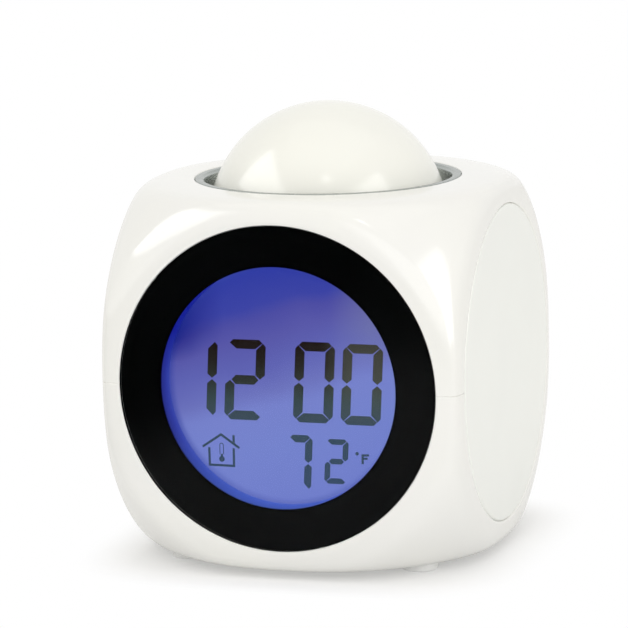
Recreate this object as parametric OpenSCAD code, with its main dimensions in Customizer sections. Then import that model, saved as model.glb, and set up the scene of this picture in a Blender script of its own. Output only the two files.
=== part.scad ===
// Talking alarm clock: a rounded cube with a round display and a dome that is pressed to make it speak.
// Millimetres. The front faces -Y, +Z is up, and the origin lies under the middle, on the table.

/* [Case] */
// Width, depth and height of the cube-shaped case
case_w = 80; // [80:0.5:88]
// Wall thickness of the two shells
wall = 2; // [1.6:0.1:2.4]
// How far a rounded corner stands back from the sharp cube corner
corner_cut = 12.5; // [11:0.5:14]
// How far a rounded edge stands back from the sharp cube edge
edge_cut = 1.5; // [0.8:0.1:2.2]
// Gap round flush discs, panels and other pieces that sit in a recess
fit_gap = 0.1; // [0.05:0.01:0.2]
// Height of the lip that lines the shells up, above their seam
lip_h = 2; // [1:0.5:4]
// Thickness of that lip
lip_t = 1.2; // [0.8:0.1:1.6]
// Length of that lip along each side
lip_len = 24; // [16:1:30]
// Radius of the discs let into the sides
side_disc_r = 34.4; // [30:0.2:35]
// Thickness of the side discs
side_disc_t = 2; // [1.2:0.1:2.4]
// Width of the rim that joins the seat of a side disc or of the rear panel to the wall round it
seat_rim = 1.2; // [1:0.1:1.4]
// Thickness of the wall behind a side disc, a window ledge or the rear ledge
seat_t = 2; // [1.6:0.1:2.4]

/* [Feet and case screws] */
// Radius of a rubber foot
foot_r = 4; // [3.2:0.1:4.4]
// How far the feet stand out below the case
foot_proud = 1.2; // [0.8:0.1:2]
// How deep the feet sit in their recesses
foot_sink = 1; // [0.6:0.1:1.4]
// Sideways distance of a case screw and its foot from the middle
boss_x = 26; // [24:0.5:27]
// Distance of a case screw and its foot to the front or rear
boss_y = 22.6; // [22.4:0.1:22.8]
// Radius of a case screw's boss
boss_r = 3.8; // [3.5:0.1:3.9]
// Shank radius of a case screw
case_screw_r = 1.2; // [1:0.05:1.4]
// Depth of a case screw's head below the seam
case_screw_drop = 14; // [8:1:20]
// How far a case screw reaches into the upper shell
case_screw_bite = 8; // [5:0.5:11]

/* [Front window and display] */
// Radius of the clear front window
window_r = 34.9; // [33:0.1:35.4]
// Thickness of the window
window_t = 1.5; // [1:0.1:2]
// Thickness of the black border behind it
mask_t = 0.4; // [0.2:0.1:0.8]
// Radius of the display opening in the border
display_r = 26; // [22:0.5:26.4]
// Width of the ledge that carries the window
ledge_w = 2; // [1.4:0.1:2.6]
// Depth of the display behind the border
lcd_depth = 5.5; // [4.5:0.1:5.8]
// Width of the display glass
lcd_w = 54; // [53:0.5:55]
// Height of the display glass
lcd_h = 58; // [57:0.5:59]
// Thickness of the display glass
lcd_t = 1.8; // [1.4:0.1:2]
// Thickness of the light guide
guide_t = 2; // [1.5:0.1:2.2]
// Width of the display frame's side rims, which take the board screws
frame_rim_x = 3.9; // [3.4:0.1:4.4]
// Width of the display frame's top and bottom rims
frame_rim_z = 1.3; // [1:0.1:1.5]
// Sideways distance of the display frame's screw ears from the middle
ear_x = 18; // [16:0.5:19]
// Radius of the screw ears
ear_r = 2.1; // [1.9:0.1:2.6]
// Radius of the posts that carry the ears
post_r = 1.9; // [1.6:0.1:2.2]
// Thickness of the screw ears
ear_t = 2.4; // [1.6:0.1:2.8]

/* [Boards and small screws] */
// Thickness of every circuit board
board_t = 1.6; // [1:0.1:1.8]
// Height of the main board's top edge above the middle of the case
board_top = 17; // [14:0.5:18]
// Depth of the main board's wide part below the middle of the case
board_low = 30; // [28:0.5:31]
// Shank radius of the small screws
screw_r = 0.9; // [0.7:0.05:1]
// Head radius of the small screws
head_r = 1.7; // [1.5:0.1:1.9]
// Head height of the small screws
head_h = 1.2; // [0.8:0.1:1.4]
// How far a small screw bites into its post
screw_bite = 4; // [3:0.5:5]
// Width and depth of a push switch
switch_w = 6; // [5:0.5:6.5]
// Body height of a push switch
switch_h = 3.5; // [2.5:0.1:3.7]
// Radius of a push switch's plunger
plunger_r = 1.7; // [1.2:0.1:1.8]
// Height of that plunger above the switch body
plunger_h = 0.8; // [0.5:0.1:1]

/* [Rear panel, buttons and speaker] */
// Radius of the rear panel
rear_r = 34.4; // [33.8:0.2:35]
// How far the rear panel lies below the rear face
rear_recess = 1.4; // [1.2:0.1:1.6]
// Thickness of the rear panel
rear_t = 2; // [1.5:0.1:2.2]
// Width of the ledge that carries the rear panel
rear_ledge_w = 3; // [2.8:0.1:3.2]
// Radius of a set button
button_r = 3; // [2.4:0.1:3.2]
// Distance between neighbouring buttons
button_pitch = 9; // [8.8:0.1:9.2]
// Height of the button row above the middle of the case
button_z = 14; // [13.8:0.1:14.4]
// How far a button stands out of the panel
button_proud = 1.3; // [1.1:0.05:1.35]
// How far a button is pressed
button_travel = 0.9; // [0.5:0.1:1]
// Width of a button's hidden rim
button_rim = 0.9; // [0.6:0.1:1]
// Thickness of that rim
button_rim_t = 1.2; // [0.8:0.1:1.6]
// Running gap of a button in its bore
button_gap = 0.08; // [0.05:0.01:0.1]
// Radius of the speaker
speaker_r = 18; // [15:0.5:18.2]
// Height of the speaker's middle, below the middle of the case
speaker_low = 10; // [9.8:0.1:12]
// Thickness of the speaker's rim
speaker_rim_t = 1.2; // [0.8:0.1:1.6]
// Depth of the speaker's basket
basket_depth = 8; // [7:0.5:9]
// Radius of the speaker's magnet
magnet_r = 9; // [7:0.5:10]
// Thickness of the speaker's magnet
magnet_t = 5; // [3:0.5:6]
// Distance between grille holes
grille_pitch = 4; // [3.4:0.1:4.4]
// Radius of a grille hole
grille_r = 0.9; // [0.6:0.1:1.2]

/* [Dome] */
// Radius of the dome's sphere
dome_r = 26.2; // [24:0.1:26.4]
// Depth of the sphere's middle below the top of the case
dome_drop = 10; // [8:0.5:11]
// Wall thickness of the dome
dome_wall = 2; // [1.6:0.1:2.4]
// How far the dome is pressed
dome_travel = 2; // [1:0.1:2.2]
// Outer radius of the silver ring
ring_r = 29; // [28.6:0.1:30]
// Inner radius of the silver ring and its sleeve
ring_in_r = 27; // [26.6:0.1:27.2]
// Thickness of the ring's visible band
band_t = 1.2; // [0.8:0.1:1.5]
// Wall thickness of the sleeve below the band
sleeve_t = 1; // [0.8:0.1:1.2]
// Length of the ring and sleeve
sleeve_len = 16; // [15:0.5:17]
// Running gap between dome and sleeve
dome_gap = 0.1; // [0.05:0.01:0.1]
// Thickness of the dome's catches under the sleeve
catch_t = 1.4; // [1:0.1:1.8]
// Thickness of the plate that closes the dome
plate_t = 2; // [1.5:0.1:2.4]
// Radius of the stem that presses the switch
stem_r = 2.5; // [1.8:0.1:3]
// Depth of the talk board's upper face below the top of the case
talk_drop = 30; // [29:0.5:31]
// Sideways distance of the talk board's posts from the middle
talk_x = 32; // [31.6:0.1:32.2]
// Distance of those posts to the front or rear
talk_y = 13.5; // [12:0.5:15]
// Radius of those posts
talk_post_r = 2.8; // [2.4:0.1:3]
// Wire radius of the talk spring
talk_wire_r = 0.4; // [0.3:0.05:0.5]
// Turns of the talk spring
talk_turns = 5; // [4:1:7]

/* [Battery bay] */
// Radius of a battery cell
cell_r = 5.25; // [5.1:0.05:5.3]
// Length of a battery cell with its nub
cell_len = 44.5; // [44:0.1:45]
// Gap between neighbouring cells
cell_gap = 0.7; // [0.4:0.1:0.8]
// Length of a battery spring
bat_spring_len = 6.7; // [6.2:0.1:7]
// Wire radius of a battery spring
bat_wire_r = 0.3; // [0.25:0.05:0.4]
// Turns of a battery spring
bat_turns = 4; // [3:1:5]
// Thickness of the contact plates
contact_t = 0.4; // [0.3:0.05:0.5]
// Thickness of the bay's walls and roof
bay_wall = 2; // [1.8:0.1:2.2]
// Width of the ledge that the battery door closes against
door_ledge = 1; // [0.8:0.1:1.2]
// Gap round the battery door
door_gap = 0.2; // [0.15:0.05:0.3]
// Reach of the door's tongues past the edge of its opening
tongue_reach = 1.6; // [1:0.1:1.8]
// Thickness of those tongues
tongue_t = 1; // [0.8:0.1:1.2]
// Width of a tongue
tongue_w = 6; // [4:0.5:7]
// Sideways distance of a tongue from the middle
tongue_x = 10; // [8:0.5:14]
// Radius of the finger scoop in the door
scoop_r = 9; // [7:0.5:10]

/* [Hidden] */
$fn = 96;

// How far a cut runs past a face, gap of a pressed seat, rest gap at a stop, and room past a screw's tip
cut = 1;
seat_gap = 0.05;
stop_gap = 0.1;
tip_gap = 0.5;

// Case, measured from its middle
half = case_w / 2;
mid_z = foot_proud + half;
corner_r = half * sqrt(3) - corner_cut;
edge_r = half * sqrt(2) - edge_cut;
side_in = half - side_disc_t - seat_t;
boss_step = 0.8;
boss_roof = 2;
case_head_r = case_screw_r * 2;
case_head_h = 1.6;
case_head_gap = 0.2;

// Front stack, from the window inwards
mask_y = -half + window_t;
ledge_y = mask_y + mask_t;
flange_y = ledge_y + seat_t;
lcd_y = ledge_y + lcd_depth;
guide_y = lcd_y + lcd_t;
board_gap = 0.2;
board_y = guide_y + guide_t + board_gap;
board_back = board_y + board_t;
window_hole_r = window_r + fit_gap - ledge_w;
frame_x = lcd_w / 2 + fit_gap + frame_rim_x;
frame_z = lcd_h / 2 + fit_gap + frame_rim_z;
post_gap = 0.2;
ear_z = frame_z + post_r + post_gap;
ear_y = board_y - ear_t;
zebra_t = 1.1;
zebra_inset = 3;
led_w = 3;
led_h = 1.5;
led_pitch = 16;
led_gap = 0.1;
zebra_z = -lcd_h / 2 + led_gap;
led_z = zebra_z + zebra_t + led_gap;
guide_z = led_z + led_h + led_gap;
rim_screw_x = frame_x - frame_rim_x / 2;
rim_screw_drop = 5;
rim_screw_z = board_top - rim_screw_drop;

// Rear stack, from the rear face inwards
panel_y = half - rear_recess;
panel_in = panel_y - rear_t;
rear_hole_r = rear_r + fit_gap - rear_ledge_w;
rear_screw_edge = 0.4;
rear_screw_at = (rear_r - head_r - rear_screw_edge) / sqrt(2);
rear_boss_r = 2.8;
rear_boss_len = 6;
last_button = 2;
rim_gap = 0.2;
button_foot = panel_in - rim_gap - button_rim_t;
button_stem_len = 1.2;
button_stem_end = button_foot - button_stem_len;
key_board_front = button_stem_end - button_travel - stop_gap - plunger_h - switch_h;
key_post_room = 6.7;
key_post_x = last_button * button_pitch + key_post_room;
key_post_r = 2.1;
key_board_edge = 3;
key_board_rim = 1.5;
speaker_rim_w = 2.2;
cone_r = speaker_r - speaker_rim_w;
magnet_end = panel_in - basket_depth - magnet_t;

// Dome and talk switch, from the top face downwards
dome_z = half - dome_drop;
collar_t = 3;
collar_low = half - wall - collar_t;
sleeve_low = half - sleeve_len;
guide_r = ring_in_r - dome_gap;
guide_drop = 2;
guide_top = dome_z - guide_drop;
catch_top = sleeve_low - stop_gap;
dome_low = catch_top - catch_t;
catch_reach = 0.6;
catch_w = 9;
plate_r = guide_r - dome_wall;
talk_top = half - talk_drop;
talk_plunger_top = talk_top + switch_h + plunger_h;
stem_low = talk_plunger_top + dome_travel + stop_gap;
talk_spring_room = 2.4;
talk_spring_r = switch_w / sqrt(2) + talk_spring_room;
talk_board_edge = 0.4;
talk_board_rim = 1;

// Battery bay, from the floor upwards
bay_x = (cell_len + bat_spring_len) / 2 + contact_t;
cell_pitch = 2 * cell_r + cell_gap;
bay_y = cell_pitch + cell_r + cell_gap;
cell_floor_gap = 0.6;
cell_z = -half + wall + cell_floor_gap + cell_r;
roof_z = cell_z + cell_r + seat_gap;
door_x = bay_x + door_ledge;
door_y = bay_y + door_ledge;
tab_w = 4;
tab_rise = 2.5;
tab_top = roof_z + bay_wall + tab_rise;
slot_room = 1;
tongue_root = 3;
scoop_in = 4;

// Wires: radius, and routes from the middle of the case, chosen by hand
lead_r = 0.6;
battery_routes = [
    [[-25.8, -11.2, tab_top], [-25.8, -11.2, -19], [-24, -15, -17], [-21, -21, -17], [-20, -25, -18],
        [-20, board_back, -18]],
    [[25.8, 11.2, tab_top], [25.8, 11.2, -19], [24, 4, -17], [22, -8, -17], [20, -20, -17], [20, -25, -18],
        [20, board_back, -18]]];
speaker_routes = [for (s = [0, 4]) [[1 + s, magnet_end, -10], [1 + s, 20, -10], [3 + s, 12, -17],
    [5 + s, 0, -21], [5 + s, -12, -19], [5 + s, -22, -14], [5 + s, board_back, -14]]];
talk_routes = [for (s = [0, 4]) [[-14 + s, -12, talk_top - board_t], [-14 + s, -12, 4], [-14 + s, -16, 1],
    [-14 + s, -22, 2], [-14 + s, board_back, 2]]];
button_routes = [for (s = [0, 3, 6]) [[10 + s, key_board_front - board_t, 12], [10 + s, 24, 12],
    [10 + s, 19, 6], [10 + s, 8, 3], [10 + s, -10, 3], [10 + s, -22, 8], [10 + s, board_back, 8]]];

// Colours
shell_white = [0.94, 0.94, 0.92];
board_green = [0.1, 0.4, 0.22];
steel = [0.72, 0.73, 0.74];

// Shared shapes
module lift() {
    translate([0, 0, mid_z]) children();
}

module box(low, high) {
    translate(low) cube(high - low);
}

module x_rod(r, x0, x1) {
    translate([x0, 0, 0]) rotate([0, 90, 0]) cylinder(r = r, h = x1 - x0);
}

module y_rod(r, y0, y1) {
    translate([0, y0, 0]) rotate([-90, 0, 0]) cylinder(r = r, h = y1 - y0);
}

module z_rod(r, z0, z1) {
    translate([0, 0, z0]) cylinder(r = r, h = z1 - z0);
}

module four(x, y) {
    for (sx = [-1, 1], sy = [-1, 1]) translate([sx * x, sy * y, 0]) children();
}

// A screw with its head's underside at the origin, its shank along +Z
module screw(shank_r, shank_len, top_r, top_h) {
    slot_len = 1.3;
    slot_w = 0.26;
    difference() {
        union() {
            cylinder(r = shank_r, h = shank_len);
            translate([0, 0, -top_h]) cylinder(r = top_r, h = top_h);
        }
        for (a = [0, 90]) {
            rotate(a) translate([0, 0, -top_h])
                cube([top_r * slot_len, top_r * slot_w, top_h], center = true);
        }
    }
}

// A push switch standing on the origin, its plunger along +Z
module push_switch() {
    translate([-switch_w / 2, -switch_w / 2, 0]) cube([switch_w, switch_w, switch_h]);
    cylinder(r = plunger_r, h = switch_h + plunger_h);
}

// Points of a smooth curve through a route, whose first and last stretches stay straight
function mix4(a, b, c, d, t) = 0.5 * (2 * b + (c - a) * t + (2 * a - 5 * b + 4 * c - d) * t * t
    + (3 * b - a - 3 * c + d) * t * t * t);
function pick(route, i) = route[min(max(i, 0), len(route) - 1)];
function smooth(route, steps) = concat([route[0]],
    [for (i = [1 : len(route) - 3], k = [0 : steps - 1])
        mix4(pick(route, i - 1), pick(route, i), pick(route, i + 1), pick(route, i + 2), k / steps)],
    [route[len(route) - 2], route[len(route) - 1]]);

// Points of a helix along +Z
function helix(r, length, turns, per_turn) = [for (i = [0 : turns * per_turn])
    [r * cos(360 * i / per_turn), r * sin(360 * i / per_turn), length * i / (turns * per_turn)]];

// Least gap between turns of a wound wire, measured on its points
function least_gap(points, per_turn, wire_r) = min([for (i = [0 : len(points) - 1 - per_turn])
    norm(points[i + per_turn] - points[i])]) - 2 * wire_r;

// A round tube along points; none of its stretches runs along the given side direction
module tube(points, r, sides, side) {
    last = len(points) - 1;
    function unit(v) = v / norm(v);
    function along(i) = unit(points[min(i + 1, last)] - points[max(i - 1, 0)]);
    function across(i) = unit(cross(along(i), side));
    rings = [for (i = [0 : last], k = [0 : sides - 1]) let (turn = 360 * k / sides)
        points[i] + r * (across(i) * cos(turn) + cross(along(i), across(i)) * sin(turn))];
    walls = [for (i = [0 : last - 1], k = [0 : sides - 1], half_face = [0, 1])
        let (a = i * sides + k, b = i * sides + (k + 1) % sides)
        half_face == 0 ? [a, a + sides, b] : [b, a + sides, b + sides]];
    ends = [for (k = [1 : sides - 2], at_end = [0, 1])
        at_end == 0 ? [0, k, k + 1] : [last * sides, last * sides + k + 1, last * sides + k]];
    polyhedron(points = rings, faces = concat(walls, ends));
}

module leads(routes, side) {
    for (route = routes) tube(smooth(route, 4), lead_r, 8, side);
}

module spring(r, length, turns, wire_r) {
    per_turn = 8;
    middle = helix(r, length - 2 * wire_r, turns, per_turn);
    echo(spring_turn_gap = least_gap(middle, per_turn, wire_r));
    translate([0, 0, wire_r]) tube(middle, wire_r, 6, [0, 0, 1]);
}

// The rounded cube, its faces moved inwards: the edges first, then the corners
module case_solid(inset) {
    intersection() {
        intersection() {
            cube(case_w - 2 * inset, center = true);
            x_rod(edge_r - inset, -case_w, case_w);
            y_rod(edge_r - inset, -case_w, case_w);
            z_rod(edge_r - inset, -case_w, case_w);
        }
        rotate([20, 30, 40]) sphere(r = corner_r - inset);
    }
}

// Both shells before they are parted: the hollow cube with its seats and openings
module case_hollow() {
    difference() {
        union() {
            difference() {
                case_solid(0);
                case_solid(wall);
            }
            intersection() {
                case_solid(wall / 2);
                union() {
                    y_rod(window_r + fit_gap + seat_t, -half, flange_y);
                    y_rod(rear_r + fit_gap + seat_rim, panel_in - seat_t, half);
                    x_rod(side_disc_r + fit_gap + seat_rim, -half, -side_in);
                    x_rod(side_disc_r + fit_gap + seat_rim, side_in, half);
                    z_rod(ring_r + fit_gap + seat_t, collar_low, half);
                }
            }
        }
        y_rod(window_r + fit_gap, -half - cut, ledge_y);
        y_rod(window_hole_r, -half - cut, flange_y + cut);
        y_rod(rear_r + fit_gap, panel_in, half + cut);
        y_rod(rear_hole_r, panel_in - seat_t - cut, half + cut);
        x_rod(side_disc_r + fit_gap, -half - cut, -half + side_disc_t);
        x_rod(side_disc_r + fit_gap, half - side_disc_t, half + cut);
        z_rod(ring_r + fit_gap, half - band_t, half + cut);
        z_rod(ring_in_r + sleeve_t + fit_gap, collar_low - cut, half + cut);
    }
}

// Posts that carry the display frame and bosses behind the rear ledge; way is +1 above the seam, -1 below it
module half_posts(way) {
    for (s = [-1, 1]) {
        translate([s * ear_x, 0, way * ear_z]) y_rod(post_r, flange_y - seat_t / 2, ear_y);
        translate([s * rear_screw_at, 0, way * rear_screw_at])
            y_rod(rear_boss_r, panel_in - rear_boss_len, panel_in);
    }
}

module half_pilots(way) {
    for (s = [-1, 1]) {
        translate([s * ear_x, 0, way * ear_z])
            y_rod(screw_r + seat_gap, ear_y - screw_bite - tip_gap, ear_y + cut);
        translate([s * rear_screw_at, 0, way * rear_screw_at])
            y_rod(screw_r + seat_gap, panel_in - screw_bite - tip_gap, panel_in + cut);
    }
}

// The sub-parts
module upper_shell() {
    rib_t = 1.6;
    boss_top = case_screw_bite + boss_roof;
    color(shell_white) lift() difference() {
        union() {
            intersection() {
                case_hollow();
                box([-case_w, -case_w, 0], [case_w, case_w, case_w]);
            }
            half_posts(1);
            four(talk_x, talk_y) z_rod(talk_post_r, talk_top, half - wall / 2);
            four(boss_x, boss_y) z_rod(boss_r - boss_step, 0, boss_top);
            for (side = [0, 1], y = [-boss_y, boss_y]) mirror([side, 0, 0])
                box([boss_x, y - rib_t / 2, 0], [side_in + seat_t / 2, y + rib_t / 2, boss_top]);
        }
        half_pilots(1);
        four(talk_x, talk_y) z_rod(screw_r + seat_gap, talk_top - cut, talk_top + screw_bite + tip_gap);
        four(boss_x, boss_y) z_rod(case_screw_r + seat_gap, -cut, case_screw_bite + tip_gap);
    }
}

module lower_shell() {
    lip_out = side_in - fit_gap;
    lip_in = lip_out - lip_t;
    lip_root = 4;
    slot_x = tongue_w / 2 + door_gap;
    slot_top = -half + wall + tongue_t + slot_room;
    color(shell_white) lift() difference() {
        union() {
            intersection() {
                case_hollow();
                box([-case_w, -case_w, -case_w], [case_w, case_w, 0]);
            }
            half_posts(-1);
            four(boss_x, boss_y) z_rod(boss_r, -half + wall / 2, 0);
            for (side = [0, 1]) mirror([side, 0, 0]) {
                box([lip_in, -lip_len / 2, -lip_root], [lip_out, lip_len / 2, lip_h]);
                box([lip_in, -lip_len / 2, -lip_root], [side_in + seat_t / 2, lip_len / 2, -cut]);
            }
            box([-bay_x - bay_wall, -bay_y - bay_wall, -half + wall / 2],
                [bay_x + bay_wall, bay_y + bay_wall, roof_z + bay_wall]);
        }
        half_pilots(-1);
        box([-bay_x, -bay_y, -half + wall - cut], [bay_x, bay_y, roof_z]);
        box([-door_x, -door_y, -half - cut], [door_x, door_y, -half + wall]);
        for (x = [-tongue_x, tongue_x])
            box([x - slot_x, bay_y - cut, -half + wall], [x + slot_x, bay_y + bay_wall + cut, slot_top]);
        for (way = [-1, 1]) at_corner(way)
            box([bay_x - contact_t - seat_gap, cell_pitch - tab_w / 2 - fit_gap, roof_z - cut],
                [bay_x + seat_gap, cell_pitch + tab_w / 2 + fit_gap, roof_z + bay_wall + cut]);
        four(boss_x, boss_y) {
            z_rod(case_head_r + case_head_gap, -half - cut, -case_screw_drop);
            z_rod(case_screw_r + fit_gap, -half, cut);
            z_rod(foot_r + seat_gap, -half - cut, -half + foot_sink);
        }
    }
}

module front_window() {
    color([0.75, 0.82, 0.88, 0.35]) lift() y_rod(window_r, -half, mask_y);
}

module bezel_mask() {
    color([0.02, 0.02, 0.025]) lift() difference() {
        y_rod(window_r, mask_y, ledge_y);
        y_rod(display_r, mask_y - cut, ledge_y + cut);
    }
}

module lcd_frame() {
    ear_root = 1;
    color([0.93, 0.93, 0.95]) lift() difference() {
        union() {
            intersection() {
                union() {
                    box([-frame_x, flange_y, -frame_z], [frame_x, board_y, frame_z]);
                    for (x = [-ear_x, ear_x], way = [0, 1]) mirror([0, 0, way]) {
                        translate([x, 0, ear_z]) y_rod(ear_r, ear_y, board_y);
                        box([x - ear_r, ear_y, frame_z - ear_root], [x + ear_r, board_y, ear_z]);
                    }
                }
                case_solid(wall + 2 * fit_gap);
            }
            y_rod(window_hole_r - fit_gap, ledge_y, flange_y + cut);
        }
        y_rod(display_r + fit_gap, ledge_y - cut, lcd_y + cut);
        box([-lcd_w / 2 - fit_gap, lcd_y, -lcd_h / 2 - fit_gap],
            [lcd_w / 2 + fit_gap, board_y + cut, lcd_h / 2 + fit_gap]);
        for (x = [-ear_x, ear_x], z = [-ear_z, ear_z])
            translate([x, 0, z]) y_rod(screw_r + fit_gap, ear_y - cut, board_y + cut);
        for (x = [-rim_screw_x, rim_screw_x])
            translate([x, 0, rim_screw_z])
                y_rod(screw_r + seat_gap, board_y - screw_bite - tip_gap, board_y + cut);
    }
}

module lcd_panel() {
    color([0.36, 0.4, 0.72]) lift() box([-lcd_w / 2, lcd_y, -lcd_h / 2], [lcd_w / 2, guide_y, lcd_h / 2]);
}

module light_guide() {
    color([0.85, 0.9, 1]) lift()
        box([-lcd_w / 2, guide_y, guide_z], [lcd_w / 2, guide_y + guide_t, lcd_h / 2]);
}

module backlight_leds() {
    color([0.3, 0.45, 1]) lift() for (x = [-led_pitch, 0, led_pitch])
        box([x - led_w / 2, guide_y + board_gap, led_z], [x + led_w / 2, board_y, led_z + led_h]);
}

module zebra_strip() {
    strip_w = lcd_w - 2 * zebra_inset;
    color([0.35, 0.35, 0.38]) lift()
        box([-strip_w / 2, guide_y, zebra_z], [strip_w / 2, board_y, zebra_z + zebra_t]);
}

module main_board() {
    foot_edge = 1;
    foot_x = ear_x + ear_r + foot_edge;
    color(board_green) lift() difference() {
        union() {
            box([-frame_x, board_y, -board_low], [frame_x, board_back, board_top]);
            box([-foot_x, board_y, -ear_z - ear_r], [foot_x, board_back, -board_low + cut]);
        }
        for (x = [-ear_x, ear_x])
            translate([x, 0, -ear_z]) y_rod(screw_r + fit_gap, board_y - cut, board_back + cut);
        for (x = [-rim_screw_x, rim_screw_x])
            translate([x, 0, rim_screw_z]) y_rod(screw_r + fit_gap, board_y - cut, board_back + cut);
    }
}

module board_components() {
    chip_r = 5;
    chip_h = 1.2;
    memory = [4, 1.8, 10];
    memory_at = [-20, board_back, -6];
    capacitor_r = 2.4;
    capacitor_h = 4;
    capacitor_at = [-6, board_back, -20];
    quartz = [8, 2, 5];
    quartz_at = [13, board_back, -8];
    bead_r = 1;
    bead_h = 2.5;
    bead_at = [12, board_back, -24];
    color([0.12, 0.12, 0.13]) lift() {
        y_rod(chip_r, board_back, board_back + chip_h);
        box(memory_at, memory_at + memory);
        translate(capacitor_at) y_rod(capacitor_r, 0, capacitor_h);
        box(quartz_at, quartz_at + quartz);
        translate(bead_at) y_rod(bead_r, 0, bead_h);
    }
}

module lcd_screws() {
    color(steel) lift() for (x = [-ear_x, ear_x], way = [-1, 1]) {
        seat = way > 0 ? board_y : board_back;
        translate([x, seat, way * ear_z]) rotate([90, 0, 0])
            screw(screw_r, seat - ear_y + screw_bite, head_r, head_h);
    }
}

module board_screws() {
    color(steel) lift() for (x = [-rim_screw_x, rim_screw_x])
        translate([x, board_back, rim_screw_z]) rotate([90, 0, 0])
            screw(screw_r, board_t + screw_bite, head_r, head_h);
}

module side_disc(way) {
    color([0.92, 0.925, 0.9]) lift() mirror([way < 0 ? 1 : 0, 0, 0])
        x_rod(side_disc_r, half - side_disc_t, half);
}

module side_disc_left() {
    side_disc(-1);
}

module side_disc_right() {
    side_disc(1);
}

module rear_panel() {
    grille_rings = 3;
    holder_t = 1.2;
    holder_h = 2.2;
    color(shell_white) lift() difference() {
        union() {
            y_rod(rear_r, panel_in, panel_y);
            translate([0, 0, -speaker_low])
                y_rod(speaker_r + fit_gap + holder_t, panel_in - holder_h, panel_in + cut);
            for (x = [-key_post_x, key_post_x])
                translate([x, 0, button_z]) y_rod(key_post_r, key_board_front, panel_in + cut);
        }
        translate([0, 0, -speaker_low]) y_rod(speaker_r + fit_gap, panel_in - holder_h - cut, panel_in);
        translate([0, 0, -speaker_low]) for (ring = [0 : grille_rings], k = [0 : max(6 * ring, 1) - 1])
            rotate([0, 60 * k / max(ring, 1), 0]) translate([ring * grille_pitch, 0, 0])
                y_rod(grille_r, panel_in - cut, panel_y + cut);
        for (i = [-last_button : last_button]) translate([i * button_pitch, 0, button_z])
            y_rod(button_r + button_gap, panel_in - cut, panel_y + cut);
        for (x = [-key_post_x, key_post_x]) translate([x, 0, button_z])
            y_rod(screw_r + seat_gap, key_board_front - cut, key_board_front + screw_bite + tip_gap);
        for (x = [-rear_screw_at, rear_screw_at], z = [-rear_screw_at, rear_screw_at]) translate([x, 0, z]) {
            y_rod(screw_r + fit_gap, panel_in - cut, panel_y + cut);
            y_rod(head_r + fit_gap, panel_y - head_h, panel_y + cut);
        }
    }
}

module rear_screws() {
    seat = panel_y - head_h;
    color(steel) lift() for (x = [-rear_screw_at, rear_screw_at], z = [-rear_screw_at, rear_screw_at])
        translate([x, seat, z]) rotate([90, 0, 0])
            screw(screw_r, seat - panel_in + screw_bite, head_r, head_h);
}

// A set button in its place in the row, counted from the middle one
module set_button(place) {
    color([0.8, 0.81, 0.82]) lift() translate([place * button_pitch, 0, button_z]) {
        y_rod(button_r, button_foot, panel_y + button_proud);
        y_rod(button_r + button_rim, button_foot, button_foot + button_rim_t);
        y_rod(button_r / 2, button_stem_end, button_foot + cut / 2);
    }
}

module time_button() {
    set_button(-2);
}

module alarm_button() {
    set_button(-1);
}

module up_button() {
    set_button(0);
}

module down_button() {
    set_button(1);
}

module unit_button() {
    set_button(2);
}

module button_board() {
    board_x = key_post_x + key_board_edge;
    board_half_z = switch_w / 2 + key_board_rim;
    color(board_green) lift() difference() {
        box([-board_x, key_board_front - board_t, button_z - board_half_z],
            [board_x, key_board_front, button_z + board_half_z]);
        for (x = [-key_post_x, key_post_x]) translate([x, 0, button_z])
            y_rod(screw_r + fit_gap, key_board_front - board_t - cut, key_board_front + cut);
    }
}

module button_switches() {
    color([0.15, 0.15, 0.16]) lift() for (i = [-last_button : last_button])
        translate([i * button_pitch, key_board_front, button_z]) rotate([-90, 0, 0]) push_switch();
}

module button_board_screws() {
    color(steel) lift() for (x = [-key_post_x, key_post_x])
        translate([x, key_board_front - board_t, button_z]) rotate([-90, 0, 0])
            screw(screw_r, board_t + screw_bite, head_r, head_h);
}

module button_leads() {
    color([0.85, 0.85, 0.8]) lift() leads(button_routes, [1, 0, 0]);
}

// Speaker pieces are turned about the speaker's axis; their outlines give radius and depth behind the panel
module on_speaker_axis() {
    lift() translate([0, panel_in, -speaker_low]) rotate([90, 0, 0]) children();
}

module speaker_basket() {
    sheet_t = 1;
    throat_room = 0.8;
    throat = magnet_r + throat_room;
    bore = 4;
    floor_in = basket_depth - sheet_t;
    color([0.25, 0.25, 0.27]) on_speaker_axis() rotate_extrude() polygon([[cone_r, 0], [speaker_r, 0],
        [speaker_r, speaker_rim_t], [speaker_r - sheet_t, speaker_rim_t], [throat, floor_in],
        [throat, basket_depth], [bore, basket_depth], [bore, floor_in], [throat - sheet_t, floor_in],
        [cone_r, speaker_rim_t]]);
}

module speaker_cone() {
    paper_r = cone_r - seat_gap;
    edge_w = 1;
    edge_at = 0.4;
    paper = 0.5;
    cap_r = 5;
    coil_room = 3;
    cone_depth = basket_depth - coil_room;
    color([0.16, 0.15, 0.15]) on_speaker_axis() rotate_extrude() polygon([[paper_r, edge_at],
        [paper_r, edge_at + paper], [cap_r, cone_depth], [0, cone_depth], [0, cone_depth - paper],
        [cap_r - paper / 2, cone_depth - paper], [paper_r - edge_w, edge_at]]);
}

module speaker_magnet() {
    color([0.3, 0.3, 0.32]) on_speaker_axis() z_rod(magnet_r, basket_depth, basket_depth + magnet_t);
}

module speaker_leads() {
    color([0.75, 0.12, 0.1]) lift() leads(speaker_routes, [1, 0, 0]);
}

module trim_ring() {
    color([0.75, 0.77, 0.76]) lift() difference() {
        union() {
            z_rod(ring_r, half - band_t, half);
            z_rod(ring_in_r + sleeve_t, sleeve_low, half);
        }
        z_rod(ring_in_r, sleeve_low - cut, half + cut);
    }
}

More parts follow.
